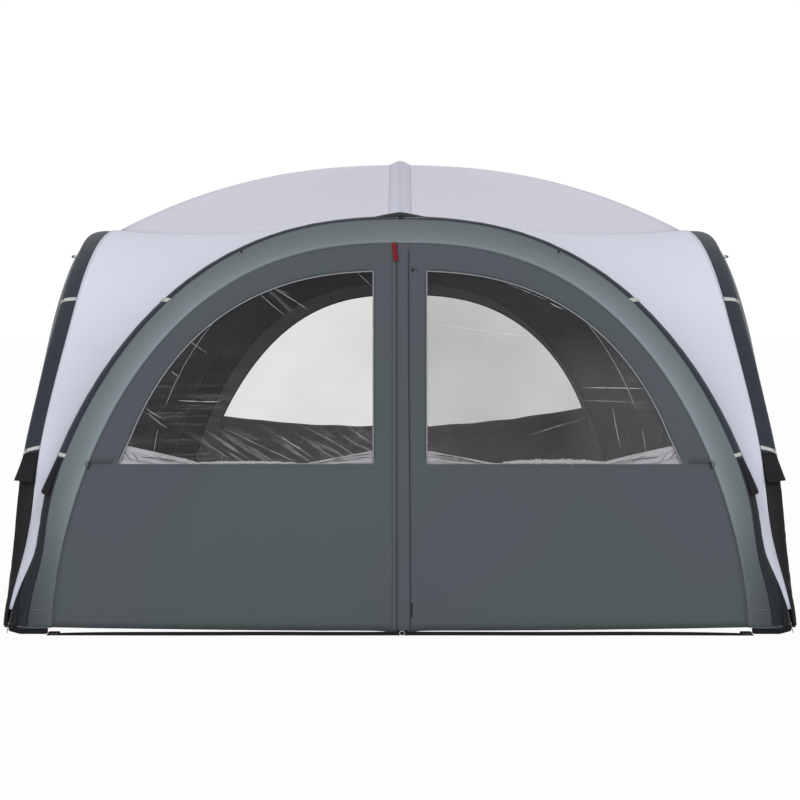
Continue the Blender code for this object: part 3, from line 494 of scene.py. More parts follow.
def glint_paint(name, colour, cover):
    """Thin sliver of painted light: a pale highlight on a film crease, and a dark painted shadow on a
    curtain fold, partly see-through and broken up along its length.
    """
    paint = Paint(name)
    broken = paint.ramp(paint.noise(paint.place(), 22.0, 3.0), (0.30, 0.25), (0.65, 1.0))
    paint.feed("Alpha", broken * cover)
    paint.feed("Base Color", colour)
    paint.feed("Roughness", 0.3)
    return paint.material


def moulded_paint(name, colour, rough=0.45, grain=260.0):
    """Moulded plastic: fine grain, slightly shinier where it has rubbed."""
    paint = Paint(name)
    place = paint.place()
    pits = paint.noise(place, grain, 3.0, 0.6)
    rubbed = paint.rise(paint.noise(place, 22.0, 3.0), 0.45, 0.7)
    paint.feed("Base Color", paint.mix(rubbed * 0.5, colour, scaled(colour, 1.6)))
    paint.feed("Roughness", rough - rubbed * 0.12 + pits * 0.08)
    paint.feed("Normal", paint.bump(pits, 0.0004, 0.4))
    return paint.material


def metal_paint(name, colour, rough=0.35):
    """Die-cast metal with fine rubs."""
    paint = Paint(name)
    place = paint.place()
    rubs = paint.noise(paint.stretched(place, (1.0, 1.0, 6.0)), 160.0, 4.0, 0.6)
    paint.feed("Base Color", paint.mix(rubs, scaled(colour, 0.8), scaled(colour, 1.15)))
    paint.feed("Metallic", 1.0)
    paint.feed("Roughness", rubs * 0.2 + (rough - 0.1))
    paint.feed("Normal", paint.bump(rubs, 0.0002, 0.3))
    return paint.material


SILVER = ink(214, 217, 229)
ROOF = ink(211, 210, 222)
BAND = ink(111, 121, 124)
WALL = ink(76, 85, 87)
SLEEVE = ink(36, 46, 54)
BOOT = ink(17, 16, 21)
BLACK = ink(12, 12, 14)
BAND_PAINTED_SHADE_HEIGHTS = (             # (half the height, tone) of painted shade: darkest near the ground, a little darker at the apex
    (0.0, 0.38), (0.06, 0.42), (0.15, 0.58), (0.25, 0.80),
    (0.35, 0.93), (0.48, 1.0), (0.80, 0.97), (0.92, 0.83))
# Painted shade on the silver, as (half the height, tone): darker towards the ground.
SILVER_PAINTED_SHADE_HEIGHTS = ((0.05, 0.80), (0.35, 0.85), (0.55, 0.88), (0.70, 0.95), (0.80, 1.0))
BAND_PAINTED_SHADE_ACROSS = ((0.02, 1.0), (0.22, 0.84), (0.45, 0.70), (0.70, 0.58), (0.98, 0.55))  # painted shade across the band, inner edge to outer

PAINTS = {
    # Silver cloth painted darker towards the ground: painted shade.
    "silver": cloth_paint("silver_cloth", scaled(SILVER, 1.05), 0.55, tone=0.02, sheen=0.05, creases=0.0010,
                          painted_shade_heights=SILVER_PAINTED_SHADE_HEIGHTS),
    "roof": cloth_paint("roof_cloth", ROOF, 0.55, tone=0.02, sheen=0.05, creases=0.0010),
    # Ridge cloth painted darker in a stripe along its middle: painted shade of a fold.
    "ridge": cloth_paint("ridge_cloth", ink(203, 203, 216), 0.55, tone=0.02, sheen=0.05, creases=0.0010,
                         painted_shade_across=((0.30, 1.0), (0.44, 0.86), (0.60, 0.90), (0.75, 0.97))),
    "lining": cloth_paint("lining_cloth", ink(152, 147, 149), 0.8, tone=0.10, creases=0.003),
    "lining_side": cloth_paint("side_lining_cloth", ink(122, 113, 113), 0.8, tone=0.16, creases=0.003),
    "lining_top": cloth_paint("canopy_lining_cloth", ink(92, 88, 93), 0.8, tone=0.08, creases=0.003),
    # Dark lining of the arch sleeves; the same cloth on the rear border is painted shade.
    "lining_dark": cloth_paint("border_cloth", ink(62, 59, 64), 0.8, depth=0.0, creases=0.003),
    # Band painted darker towards the ground and towards its outer edge: painted shade.
    "band": cloth_paint("band_cloth", scaled(BAND, 1.55), 0.75, tone=0.03, creases=0.0015,
                        painted_shade_heights=BAND_PAINTED_SHADE_HEIGHTS, painted_shade_across=BAND_PAINTED_SHADE_ACROSS),
    "wall": cloth_paint("wall_cloth", WALL, 0.72, tone=0.035, creases=0.0016, shade=ink(77, 79, 90)),
    "placket": cloth_paint("placket_cloth", ink(78, 84, 88), 0.72, tone=0.03, creases=0.0012,
                           shade=ink(80, 80, 90)),
    "sleeve": cloth_paint("sleeve_cloth", SLEEVE, 0.7, tone=0.06, creases=0.0015, shade=ink(38, 41, 54)),
    "flap": cloth_paint("flap_cloth", ink(18, 17, 23), 0.75, tone=0.06, sheen=0.02, creases=0.0015),
    "boot_front": cloth_paint("boot_front_cloth", ink(30, 36, 40), 0.7, tone=0.08, sheen=0.05,
                              creases=0.002),
    "boot": cloth_paint("boot_cloth", BOOT, 0.65, thread=0.0016, tone=0.08, sheen=0.02, creases=0.002),
    "curtain": cloth_paint("curtain_cloth", ink(170, 168, 171), 0.8, tone=0.05, creases=0.003),
    "film": film_paint("clear_film", 0.015, ink(220, 218, 222), 0.26),
    "rear_film": film_paint("rear_clear_film", 0.115, ink(150, 148, 152), 0.02, 0.15),
    "glint": glint_paint("crease_glint", ink(226, 224, 226), 0.55),
    "fold_shadow": glint_paint("curtain_fold_shadow", ink(24, 24, 26), 0.95),
    "binding": webbing_paint("pale_binding", ink(150, 154, 156), 0.0016),
    "webbing": webbing_paint("pale_webbing", ink(196, 196, 192)),
    "strap": webbing_paint("strap_webbing", BLACK),
    "red": webbing_paint("red_webbing", ink(124, 5, 10), 0.0018),
    "thread_dark": webbing_paint("dark_thread", ink(48, 52, 56), 0.001),
    "thread_pale": webbing_paint("pale_thread", ink(160, 163, 174), 0.001),
    "coil": moulded_paint("zip_coil", ink(66, 73, 75), 0.5),
    "cord": webbing_paint("grey_cord", ink(112, 114, 118), 0.002),
    "plastic": moulded_paint("moulded_black", BLACK),
    "beam": moulded_paint("beam_cover", ink(58, 58, 62), 0.55, 120.0),
    "metal": metal_paint("dark_metal", ink(110, 110, 112)),
    "steel": metal_paint("ring_steel", ink(176, 176, 174), 0.3),
}


# Arch geometry

def xyz(x, y, z):
    """Points from their three parts, which may be single numbers or grids."""
    return np.stack(np.broadcast_arrays(x, y, z), axis=-1)


def unit(vectors):
    """The vectors at length one."""
    return vectors / np.linalg.norm(vectors, axis=-1, keepdims=True)


def run_of(steps):
    """Length run at each point of a path, from the lengths of its steps."""
    return np.concatenate([[0.0], np.cumsum(steps)])


def loop_about(centre, first, second, steps=32):
    """Closed oval about a centre, by its two half axes."""
    angle = np.linspace(0, 2 * math.pi, steps + 1)[:, None]
    return centre + np.cos(angle) * np.asarray(first) + np.sin(angle) * np.asarray(second)


def arch_samples():
    """Superellipse |x/span|^p + |z/height|^q = 1 by its angle, with unit normals and arc length."""
    angle = np.linspace(0, math.pi / 2, 1200)
    u = HALF_SPAN * np.cos(angle) ** (2 / SIDE_POWER)
    w = ARCH_HEIGHT * np.sin(angle) ** (2 / TOP_POWER)
    u[-1] = 0.0
    normal_u = SIDE_POWER / HALF_SPAN * (u / HALF_SPAN) ** (SIDE_POWER - 1)
    normal_w = TOP_POWER / ARCH_HEIGHT * (w / ARCH_HEIGHT) ** (TOP_POWER - 1)
    length = np.hypot(normal_u, normal_w)
    run = run_of(np.hypot(np.diff(u), np.diff(w)))
    return np.stack([u, w, normal_u / length, normal_w / length], axis=1), run


ARCH, ARCH_RUN = arch_samples()


def on_strip(side, rows, across, lift=0.0):
    """Points on the dark strip: rows down the grid, shares of its width across it."""
    return on_arch(side, rows, *strip_rn(rows, across, lift))


def run_at(height):
    """Arc length from the foot at which the inner edge reaches this height."""
    return float(np.interp(height, ARCH[:, 1], ARCH_RUN))


def stations(places):
    """Rows (u, w, nu, nw) at these arc lengths."""
    return np.stack([np.interp(places, ARCH_RUN, ARCH[:, part]) for part in range(4)], axis=1)


def half_arch(low, high, steps):
    """Evenly spaced stations between two heights."""
    return stations(np.linspace(run_at(low), run_at(high), steps + 1))


def flipped(rows):
    """The same stations on the arch's other leg."""
    return rows * np.array([-1, 1, -1, 1])


def whole_arch(low, steps):
    """Stations from +u over the apex to -u."""
    half = half_arch(low, ARCH_HEIGHT, steps)
    return np.concatenate([half, flipped(half[-2::-1])])


def turned(side, points):
    """Points turned a quarter turn about the vertical axis, side times."""
    x, y, z = points[..., 0], points[..., 1], points[..., 2]
    for _ in range(side):
        x, y = -y, x
    return xyz(x, y, z)


def on_arch(side, rows, r, n):
    """Points at r and n from each station: rows down the grid, r and n across it."""
    r, n = np.broadcast_arrays(np.atleast_2d(r), np.atleast_2d(n))
    u, w, nu, nw = (rows[:, part, None] for part in range(4))
    height = w + r * nw
    x = u + r * nu
    y = -(FACE_AT_FOOT - LEAN * height) + n
    return turned(side, xyz(x, y, height))


def on_wall(side, x, z, n=0.0):
    """Points of an arch's leaning wall plane at x and height z, n inside it."""
    sag = HEM_SAG * np.clip(1 - (x / HALF_SPAN) ** 2, 0, 1) + HOOK_SAG * np.exp(-(x / 0.07) ** 2)
    z = z - sag * np.exp(-(z - HEM_HEIGHT) / 0.10) * (z < 0.7)
    return turned(side, xyz(x, -(FACE_AT_FOOT - LEAN * z) + n, z))


def eased(value, low, high):
    """0 below low, 1 above high, and a smooth step between."""
    share = np.clip((value - low) / (high - low), 0, 1)
    return share * share * (3 - 2 * share)


def shoulder(w):
    """How far the band's outer edge stands out of the arch's face."""
    return SHOULDER_LEG * (1 - eased(w, 0.70, 1.20)) - roll_back(w)


def roll_back(w):
    """How far the band's outer edge rolls back, on the arch's shoulders."""
    return ROLL_BACK * eased(w, 1.10, 1.45) * (1 - eased(w, 1.70, 1.84))


def band_width(w):
    """Width of the band, least where a leg is slimmest."""
    return BAND_WIDTH - 0.003 - LEG_NARROWING * np.exp(-((w - SLIM_HEIGHT) / 0.20) ** 2)


def band_rise(rows, share):
    """Band's stand-out: shoulder times a quarter sine, plus a half-sine bulge that covers the beam."""
    lap = 0.0016 * np.clip(np.atleast_2d(share) / -BAND_LAP + 0.3, 0, 1)
    share = np.maximum(np.atleast_2d(share), 0)
    w = rows[:, 1, None]
    bulge = BULGE_LEG + (BULGE_TOP - BULGE_LEG) * eased(w, 0.70, 1.20)
    rise = (shoulder(w) + roll_back(w)) * np.sin(math.pi / 2 * share) ** 0.85
    rise = rise - roll_back(w) * share ** 3 + bulge * np.sin(math.pi * share) + lap
    centre_r, centre_n, radius = BEAM_PLACE
    reach = np.clip((radius - 0.0012) ** 2 - (share * band_width(w) - centre_r) ** 2, 0, None)
    return np.maximum(rise, np.sqrt(reach) - centre_n)


def edge_width(w):
    """Width of the dark strip in the arch's plane, which grows towards the foot."""
    share = np.minimum(1.0, w / ARCH_HEIGHT) ** 2
    reach = CORNER_REACH * (1 - eased(w, 0.08, 0.40)) + TIP_REACH * (1 - eased(w, 0.08, 0.20))
    return EDGE_WIDTH_FOOT + (EDGE_WIDTH_APEX - EDGE_WIDTH_FOOT) * share + reach


def edge_depth(w):
    """How far behind the face the dark strip ends."""
    leg = (EDGE_DEPTH_LEG - EDGE_DEPTH_FOOT) * eased(w, 0, LEG_TAPER_TOP)
    top = (EDGE_DEPTH_TOP - EDGE_DEPTH_LEG) * eased(w, TOP_TAPER_START, TOP_TAPER_END)
    return EDGE_DEPTH_FOOT + leg + top


def strip_rn(rows, across, lift=0.0):
    """(r, n) grids on the dark strip: an elliptic quarter from the band (0) to the canopy (1)."""
    width = edge_width(rows[:, 1])[:, None]
    stand = shoulder(rows[:, 1])[:, None]
    depth = edge_depth(rows[:, 1])[:, None] + stand
    angle = math.pi / 2 * np.atleast_2d(across)
    out_r, out_n = depth * np.sin(angle), -width * np.cos(angle)
    length = np.hypot(out_r, out_n)
    start = band_width(rows[:, 1])[:, None] + SEAM_GAP
    r = start + width * np.sin(angle) + lift * out_r / length
    n = -stand + depth * (1 - np.cos(angle)) + lift * out_n / length
    return r, n


def waves(places, seed, pitch, amount):
    """Smooth irregular ripple along places: five sines whose pitches spread round the given one."""
    random = np.random.default_rng(seed)
    total = np.zeros_like(places)
    for _ in range(5):
        wavelength = pitch * random.uniform(0.5, 1.8)
        total = total + random.uniform(0.4, 1.0) * np.sin(
            2 * math.pi * places / wavelength + random.uniform(0, 2 * math.pi))
    return total * amount / 3


# Mesh makers

def grid_faces(rows, columns, start):
    """Corner numbers of the quads of a grid."""
    corner = np.arange(rows * columns).reshape(rows, columns) + start
    quads = corner[:-1, :-1], corner[:-1, 1:], corner[1:, 1:], corner[1:, :-1]
    return np.stack(quads, axis=-1).reshape(-1, 4)


def cloth_uv(grid):
    """Metres from the middle column across each row, and metres down the middle column."""
    across = np.linalg.norm(np.diff(grid, axis=1), axis=-1)
    across = np.concatenate([np.zeros((len(grid), 1)), np.cumsum(across, axis=1)], axis=1)
    middle = grid.shape[1] // 2
    across = across - across[:, middle:middle + 1]
    down = run_of(np.linalg.norm(np.diff(grid[:, middle], axis=0), axis=-1))
    return np.stack([across, np.broadcast_to(down[:, None], across.shape)], axis=-1)


def outwards(grid, centre=(0.0, 0.0, 0.6)):
    """The grid, reversed where its faces would point towards the centre."""
    row, column = grid.shape[0] // 2, grid.shape[1] // 2
    row, column = max(row, 1), max(column, 1)
    along = grid[row, column] - grid[row - 1, column]
    across = grid[row, column] - grid[row, column - 1]
    normal = np.cross(across, along)
    if normal @ (grid[row, column] - np.array(centre)) < 0:
        return grid[:, ::-1]
    return grid


def new_object(name, data):
    """A new object of this mesh, lamp or camera, in the scene."""
    obj = bpy.data.objects.new(name, data)
    bpy.context.scene.collection.objects.link(obj)
    return obj


def joined(obj, body, replaces=(), bend=None):
    """Set a piece on its body, or, when bend is given, bake it in place on the tent instead; hide the nodes
    that it replaces.
    """
    if bend:
        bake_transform(obj)
    else:
        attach(obj, body)
    if replaces:
        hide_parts(*replaces)
    return obj


def mesh_of(name, grids, paints):
    """One object from grids of points; edges that meet are welded."""
    points, faces, uvs, start = [], [], [], 0
    for grid in grids:
        rows, columns = grid.shape[:2]
        points.append(grid.reshape(-1, 3))
        faces.append(grid_faces(rows, columns, start))
        uvs.append(cloth_uv(grid).reshape(-1, 2))
        start += rows * columns
    points, faces, uvs = np.concatenate(points), np.concatenate(faces), np.concatenate(uvs)
    mesh = bpy.data.meshes.new(name)
    mesh.from_pydata(points.tolist(), [], faces.tolist())
    layer = mesh.uv_layers.new(name="cloth")
    loops = np.zeros(len(mesh.loops), dtype=np.int32)
    mesh.loops.foreach_get("vertex_index", loops)
    layer.data.foreach_set("uv", uvs[loops].astype(np.float32).ravel())
    if len(grids) > 1:
        bm = bmesh.new()
        bm.from_mesh(mesh)
        bmesh.ops.remove_doubles(bm, verts=bm.verts, dist=1e-5)
        bm.to_mesh(mesh)
        bm.free()
    for paint in paints:
        mesh.materials.append(PAINTS[paint])
    mesh.shade_smooth()
    return new_object(name, mesh)


def thicken(obj, thickness, inner=False):
    """Give a sheet its thickness, inwards; the inside may have its own cloth."""
    shell = obj.modifiers.new("thickness", "SOLIDIFY")
    shell.thickness = thickness
    shell.offset = -1.0
    shell.use_even_offset = False
    if inner:
        shell.material_offset = 1
        shell.material_offset_rim = 1


def flat_size(grids):
    """(widest row, middle column, area) of the cloth that these grids take."""
    area, width, length = 0.0, 0.0, 0.0
    for grid in grids:
        one = grid[1:, 1:] - grid[:-1, :-1]
        two = grid[1:, :-1] - grid[:-1, 1:]
        area += np.linalg.norm(np.cross(one, two), axis=-1).sum() / 2
        width = max(width, np.linalg.norm(np.diff(grid, axis=1), axis=-1).sum(axis=1).max())
        middle = grid[:, grid.shape[1] // 2]
        length = max(length, np.linalg.norm(np.diff(middle, axis=0), axis=-1).sum())
    return float(width), float(length), float(area)


def cloth_piece(name, grids, paint, body, replaces=(), inner=None,
                thickness=CLOTH, size=None, bend=None):
    """A sheet of cloth: mesh, thickness, body, and the nodes that it stands for; its flat size is worked
    out but not used.
    """
    grids = grids if isinstance(grids, list) else [grids]
    obj = mesh_of(name, grids, [paint] + ([inner] if inner else []))
    thicken(obj, thickness, inner=bool(inner))
    joined(obj, body, replaces, bend)
    width, length, area = flat_size(grids)
    if size:
        width, length = size
    area = min(area, width * length)
    return obj


def trim_piece(name, grids, paint, body, thickness=0.0, replaces=()):
    """Small trim that isn't a sheet of its own: tapes, tabs and hems."""
    grids = grids if isinstance(grids, list) else [grids]
    obj = mesh_of(name, grids, [paint])
    if thickness:
        thicken(obj, thickness)
    return joined(obj, body, replaces)


def rod(name, path, radius, paint, body, sides=8, replaces=()):
    """A closed round tube of its own, its ends merged."""
    piece = trim_piece(name, closed_tube(path, radius, sides), paint, body, replaces=replaces)
    weld(piece)
    return piece


def at_steps(places, steps, points):
    """Points at these places between the steps at which they are known."""
    return np.stack([np.interp(places, steps, points[:, axis]) for axis in range(3)], axis=-1)


def along_path(path, pitch):
    """Points and unit directions every pitch metres along a path of points."""
    run = run_of(np.linalg.norm(np.diff(path, axis=0), axis=1))
    places = np.arange(pitch / 2, run[-1], pitch)
    ahead = at_steps(np.minimum(places + LOOK_AHEAD, run[-1]), run, path)
    behind = at_steps(np.maximum(places - LOOK_AHEAD, 0), run, path)
    return at_steps(places, run, path), unit(ahead - behind)


def stitch_row(name, paths, normals, paint, body, pitch=STITCH_PITCH, length=STITCH_LENGTH,
               width=STITCH_WIDTH, bend=None):
    """Rows of small bars that dip into the cloth at both ends; one normal for each path, or for all."""
    normals = np.broadcast_to(np.array(normals, float), (len(paths), 3))
    shape = np.array([
        (-0.5, 0.0, -0.3), (-0.25, -0.5, 0.25), (-0.25, 0.5, 0.25), (0.25, -0.5, 0.25), (0.25, 0.5, 0.25),
        (0.5, 0.0, -0.3), (-0.25, 0.0, 0.55), (0.25, 0.0, 0.55)])
    sides = np.array([
        (0, 1, 6), (0, 6, 2), (1, 3, 7), (1, 7, 6), (6, 7, 4), (6, 4, 2), (3, 5, 7), (7, 5, 4)])
    points, faces, count = [], [], 0
    for path, normal in zip(paths, normals):
        centres, ahead = along_path(path, pitch)
        up = unit(normal - (normal * ahead).sum(axis=1, keepdims=True) * ahead)
        beside = np.cross(up, ahead)
        local = shape * np.array([length, width, width])
        placed = (centres[:, None] + ahead[:, None] * local[:, 0:1] + beside[:, None] * local[:, 1:2]
                  + up[:, None] * local[:, 2:3])
        points.append(placed.reshape(-1, 3))
        offsets = np.arange(len(centres))[:, None, None] * len(shape) + count
        faces.append((sides[None] + offsets).reshape(-1, 3))
        count += placed.shape[0] * len(shape)
    mesh = bpy.data.meshes.new(name)
    mesh.from_pydata(np.concatenate(points).tolist(), [], np.concatenate(faces).tolist())
    mesh.uv_layers.new(name="cloth")
    mesh.materials.append(PAINTS[paint])
    return joined(new_object(name, mesh), body, bend=bend)


def tube_grid(path, radius, sides=10):
    """Round tube about a path: a ring of points square to it at each place, radius may vary.

    The rings are turned by an upright guide, or by the normal of the path's own plane where the
    path runs along that guide somewhere, as a loop does.
    """
    path = np.asarray(path, float)
    ahead = unit(np.gradient(path, axis=0))
    guide = np.array([0.0, 0.0, 1.0]) if abs(ahead[0, 2]) < 0.8 else np.array([1.0, 0.0, 0.0])
    if np.linalg.norm(np.cross(ahead, guide), axis=1).min() < LEAST_SINE:
        guide = unit(np.cross(path - path.mean(axis=0), ahead).sum(axis=0))
    first = unit(np.cross(ahead, guide))
    second = np.cross(ahead, first)
    angle = np.linspace(0, 2 * math.pi, sides + 1)
    radius = np.broadcast_to(radius, (len(path),))[:, None, None]
    ring = first[:, None] * np.cos(angle)[None, :, None] + second[:, None] * np.sin(angle)[None, :, None]
    return path[:, None] + ring * radius


def closed_tube(path, radius, sides=10):
    """A tube whose ends are rounded shut by rings that shrink to a point."""
    path = np.asarray(path, float)
    radius = np.broadcast_to(radius, (len(path),)).astype(float)
    start = unit(path[0] - path[1])
    end = unit(path[-1] - path[-2])
    angle = np.linspace(0, math.pi / 2, 4)[1:]
    head = path[0] + start * radius[0] * np.sin(angle)[:, None]
    tail = path[-1] + end * radius[-1] * np.sin(angle)[:, None]
    path = np.concatenate([head[::-1], path, tail])
    radius = np.concatenate([radius[0] * np.cos(angle)[::-1], radius, radius[-1] * np.cos(angle)])
    return tube_grid(path, np.maximum(radius, 1e-5), sides)


def smooth_path(points, steps):
    """A smooth curve through points (Catmull-Rom), with this many steps between each two."""
    points = np.asarray(points, float)
    padded = np.concatenate([2 * points[:1] - points[1:2], points, 2 * points[-1:] - points[-2:-1]])
    share = np.linspace(0, 1, steps, endpoint=False)[:, None]
    pieces = []
    for index in range(1, len(padded) - 2):
        a, b, c, d = padded[index - 1:index + 3]
        pieces.append(0.5 * (2 * b + (c - a) * share + (2 * a - 5 * b + 4 * c - d) * share ** 2
                             + (3 * b - a - 3 * c + d) * share ** 3))
    return np.concatenate(pieces + [points[-1:]])


# Bands and edge strips

def side_facing(side):
    """Outward direction of an arch's face."""
    return turned(side, np.array([0.0, -1.0, LEAN]))


def build_band(side):
    """Pale band over the front of the beam, with slight ripples along both edges."""
    rows = whole_arch(LEG_BASE, 150)
    share = np.concatenate([[-BAND_LAP], np.linspace(0, 1, 15)])
    places = np.linspace(0, 2 * run_at(ARCH_HEIGHT), len(rows))
    edge_pull = np.clip(np.abs(2 * share - 1), 0, 1)[None, :] ** 3
    ripple = waves(places, 11 + side, 0.16, 0.0008)[:, None] * edge_pull
    slow = waves(places, 31 + side, 0.9, 0.0012)[:, None] * (1 - edge_pull)
    width = band_width(rows[:, 1])[:, None]
    grid = on_arch(side, rows, share * width, ripple + slow - band_rise(rows, share))
    cloth_piece(f"sleeve_band_{SIDES[side]}", outwards(grid), "band", "tent",
                [f"band_{SIDES[side]}"])
    paths = []
    for share_at in (-0.03, 0.965):
        line = on_arch(side, rows, share_at * width, -band_rise(rows, share_at) - 0.0008)
        paths.append(line[:, 0])
    stitch_row(f"band_stitches_{SIDES[side]}", paths, side_facing(side), "thread_dark", "tent")
    for sign in (1, -1):
        build_band_foot(side, sign)


def build_band_foot(side, sign):
    """Bar of pale stitches across a band's foot, and grey piping round its hem and up to the corner."""
    corner = corner_of(side, sign)
    row = leg_rows(sign, FOOT_STITCH_HEIGHT, FOOT_STITCH_HEIGHT + 0.01, 1)[:1]
    share = np.linspace(0.30, 0.88, 24)
    bar = on_arch(side, row, share * band_width(row[0, 1]), -band_rise(row, share) - 0.0012)[0]
    stitch_row(f"foot_stitches_{corner}_{SIDES[side]}", [bar], side_facing(side), "thread_pale", "tent",
               pitch=0.0062, length=0.0050, width=0.0013)
    row = leg_rows(sign, LEG_BASE + 0.002, LEG_BASE + 0.012, 1)[:1]
    share = np.linspace(0.0, 1.0, 24)
    hem = on_arch(side, row, share * band_width(row[0, 1]), -band_rise(row, share) - 0.0022)[0]
    rows = leg_rows(sign, LEG_BASE + 0.002, SILVER_TIP + 0.012, 12)
    ridge = on_strip(side, rows, [0.72], 0.004)[:, 0]
    path = smooth_path(np.concatenate([hem[::4], ridge[1:8:2]]), 4)
    rod(f"foot_piping_{corner}_{SIDES[side]}", path, PIPING_RADIUS, "cord", "tent")


def build_strip(side):
    """Dark strip from the band back to the canopy, bowed by the beam behind it."""
    rows = whole_arch(BOOT_TOP + SEAM_GAP, 130)
    share = np.append(np.linspace(0, 1, 9), 1.06)
    places = np.linspace(0, 2 * run_at(ARCH_HEIGHT), len(rows))
    ripple = waves(places, 51 + side, 0.12, 0.0008)[:, None] * np.sin(math.pi * share)
    tuck = np.where(share > 1, 0.0014, 0)
    grid = on_strip(side, rows, share, (0.004 * np.sin(math.pi * share) - tuck)[None, :] + ripple)
    cloth_piece(f"sleeve_edge_{SIDES[side]}", outwards(grid), "sleeve", "tent",
                [f"edge_strip_{SIDES[side]}"])


def build_sleeve_lining(side):
    """Dark inner cloth of an arch's sleeve: from behind the wall's edge, round the beam, to the canopy."""
    rows = whole_arch(LEG_BASE + 0.002, 110)
    centre_r, centre_n, radius = BEAM_PLACE
    turn = np.linspace(math.pi, 0.36 * math.pi, 9)
    ring = np.broadcast_to(centre_r + radius * np.cos(turn), (len(rows), 9))
    back = np.broadcast_to(centre_n + radius * np.sin(turn), (len(rows), 9))
    end_r, end_n = strip_rn(rows, [1.0], -0.004)
    lip = np.full((len(rows), 1), -0.014), np.full((len(rows), 1), 0.0002)
    end_n = np.maximum(end_n, 0.02)
    r = np.concatenate([lip[0], ring, end_r, end_r - 0.001, end_r - 0.003], axis=1)
    n = np.concatenate([lip[1], back, end_n, end_n + 0.014, end_n + 0.034], axis=1)
    grid = on_arch(side, rows, r, n)
    cloth_piece(f"sleeve_lining_{SIDES[side]}", grid, "lining_dark", "tent",
                thickness=THIN_CLOTH)


def corner_of(side, sign):
    """Name of the corner at which an arch's leg stands."""
    names = ("front_right", "rear_right", "rear_left", "front_left")
    return names[side] if sign > 0 else names[(side + 3) % 4]


def leg_rows(sign, low, high, steps):
    """Stations up one leg of an arch."""
    rows = half_arch(low, high, steps)
    return rows if sign > 0 else flipped(rows)


def strip_normal(side, rows, share):
    """Outward unit directions of the strip at these stations."""
    inside = on_strip(side, rows, [share], 0.0)
    outside = on_strip(side, rows, [share], 0.01)
    return unit(outside - inside)[:, 0]


def build_leg(side, sign):
    """Flap, black boot cloth and webbing tabs on one leg."""
    label = f"{corner_of(side, sign)}_{SIDES[side]}"
    seed = side * 2 + (sign > 0)
    build_flap(label, side, sign, seed)
    build_boot(label, side, sign, seed)
    build_tabs(label, side, sign)


def build_flap(label, side, sign, seed):
    """Flap sewn on along its top, flaring out towards its foot."""
    rows = leg_rows(sign, FLAP_BOTTOM - (0 if side % 2 else 0.022), FLAP_TOP, 20)
    share = np.linspace(*FLAP_EDGES, 15)
    down = np.linspace(1, 0, len(rows))[:, None]
    sway = waves(share[None, :] * 0.1 + down * 0.02, 71 + seed, 0.05, 0.003) * down ** 1.5
    flare = FLAP_FLARE if side % 2 else FLAP_FLARE * 0.5
    lift = 0.0010 + flare * down ** 1.3 + 0.004 * np.sin(math.pi * share)[None, :] * down + sway + CLOTH
    flap = on_strip(side, rows, share, lift)
    slant = FLAP_SLANT * (1 - share) * (side % 2)
    index = np.arange(len(rows))
    flap = np.stack([at_steps(cut * index[-1] + index * (1 - cut), index, flap[:, column])
                     for column, cut in enumerate(slant)], axis=1)
    hinge_body = f"cover_{label}"
    bend = flap[-1].mean(axis=0).tolist(), flap[len(rows) // 2].mean(axis=0).tolist()
    cloth_piece(f"leg_flap_{label}", outwards(flap), "flap", hinge_body, [f"flap_{label}"],
                bend=bend)
    stitch_row(f"flap_stitches_{label}", [flap[1], flap[-2]], strip_normal(side, rows[1:2], 0.5)[0],
               "thread_dark", hinge_body, pitch=0.007, length=0.0045, width=0.0009, bend=bend)


def build_boot(label, side, sign, seed):
    """Black cloth on a leg's strip under the flap, with a fold beside the canopy's tip."""
    rows = leg_rows(sign, LEG_BASE - 0.008, BOOT_TOP, 60)
    share = np.linspace(0, 1, 17)
    places = np.linspace(0, 0.77, len(rows))
    ripple = waves(places, 91 + seed, 0.09, 0.0022)[:, None] * np.sin(math.pi * share)
    slack = waves(places[:, None] + 0.05 * share, 97 + seed, 0.045, 0.0012) * np.sin(math.pi * share)
    low = np.exp(-((places - 0.08) / 0.10) ** 2)[:, None]
    fold = -0.012 * low * np.sin(math.pi * share) ** 3 * np.sin(1.5 * math.pi * share)
    boot = on_strip(side, rows, share, 0.002 * np.sin(math.pi * share)[None, :] + ripple + slack + fold)
    cloth_piece(f"boot_cloth_{label}", outwards(boot), "boot" if side % 2 else "boot_front", "tent")

    rows = leg_rows(sign, LEG_BASE, FOLD_TOP, 24)
    height = rows[:, 1, None]
    start = 0.42 + 0.58 * eased(height, LEG_BASE, FOLD_TOP)
    across = np.linspace(0, 1, 9)
    lift = (0.0035 + 0.004 * np.sin(math.pi * across)) * np.clip((FOLD_TOP - height) / 0.2, 0.2, 1)
    fold = on_strip(side, rows, start + (1.0 - start) * across, lift)
    trim_piece(f"foot_fold_{label}", outwards(fold), "boot", "tent", FOLD_CLOTH)


def build_tabs(label, side, sign):
    """Pale webbing tabs across a leg's strip, each with a ring."""
    for index, height in enumerate(TAB_HEIGHTS):
        share = np.linspace(-0.06, 0.98, 17)
        slack = 0.0020 + 0.0040 * np.sin(math.pi * np.clip(share, 0, 1)) ** 2
        slip = TAB_SLANTS[side % 2][index] * (share - 0.55)
        rows = leg_rows(sign, height - TAB_SPAN, height + TAB_SPAN, 60)
        full = on_strip(side, rows, share, slack[None, :])
        steps = np.linspace(-TAB_SPAN, TAB_SPAN, len(rows))
        lanes = np.linspace(-TAB_WIDTH / 2, TAB_WIDTH / 2, 4)
        tab = np.stack([at_steps(lanes + slip[column], steps, full[:, column])
                        for column in range(len(share))], axis=1)
        trim_piece(f"webbing_tab_{label}_{index}", outwards(tab), "webbing", "tent", WEBBING)
        build_ring(f"tab_ring_{label}_{index}", side, leg_rows(sign, height, height + 0.01, 1)[:1])


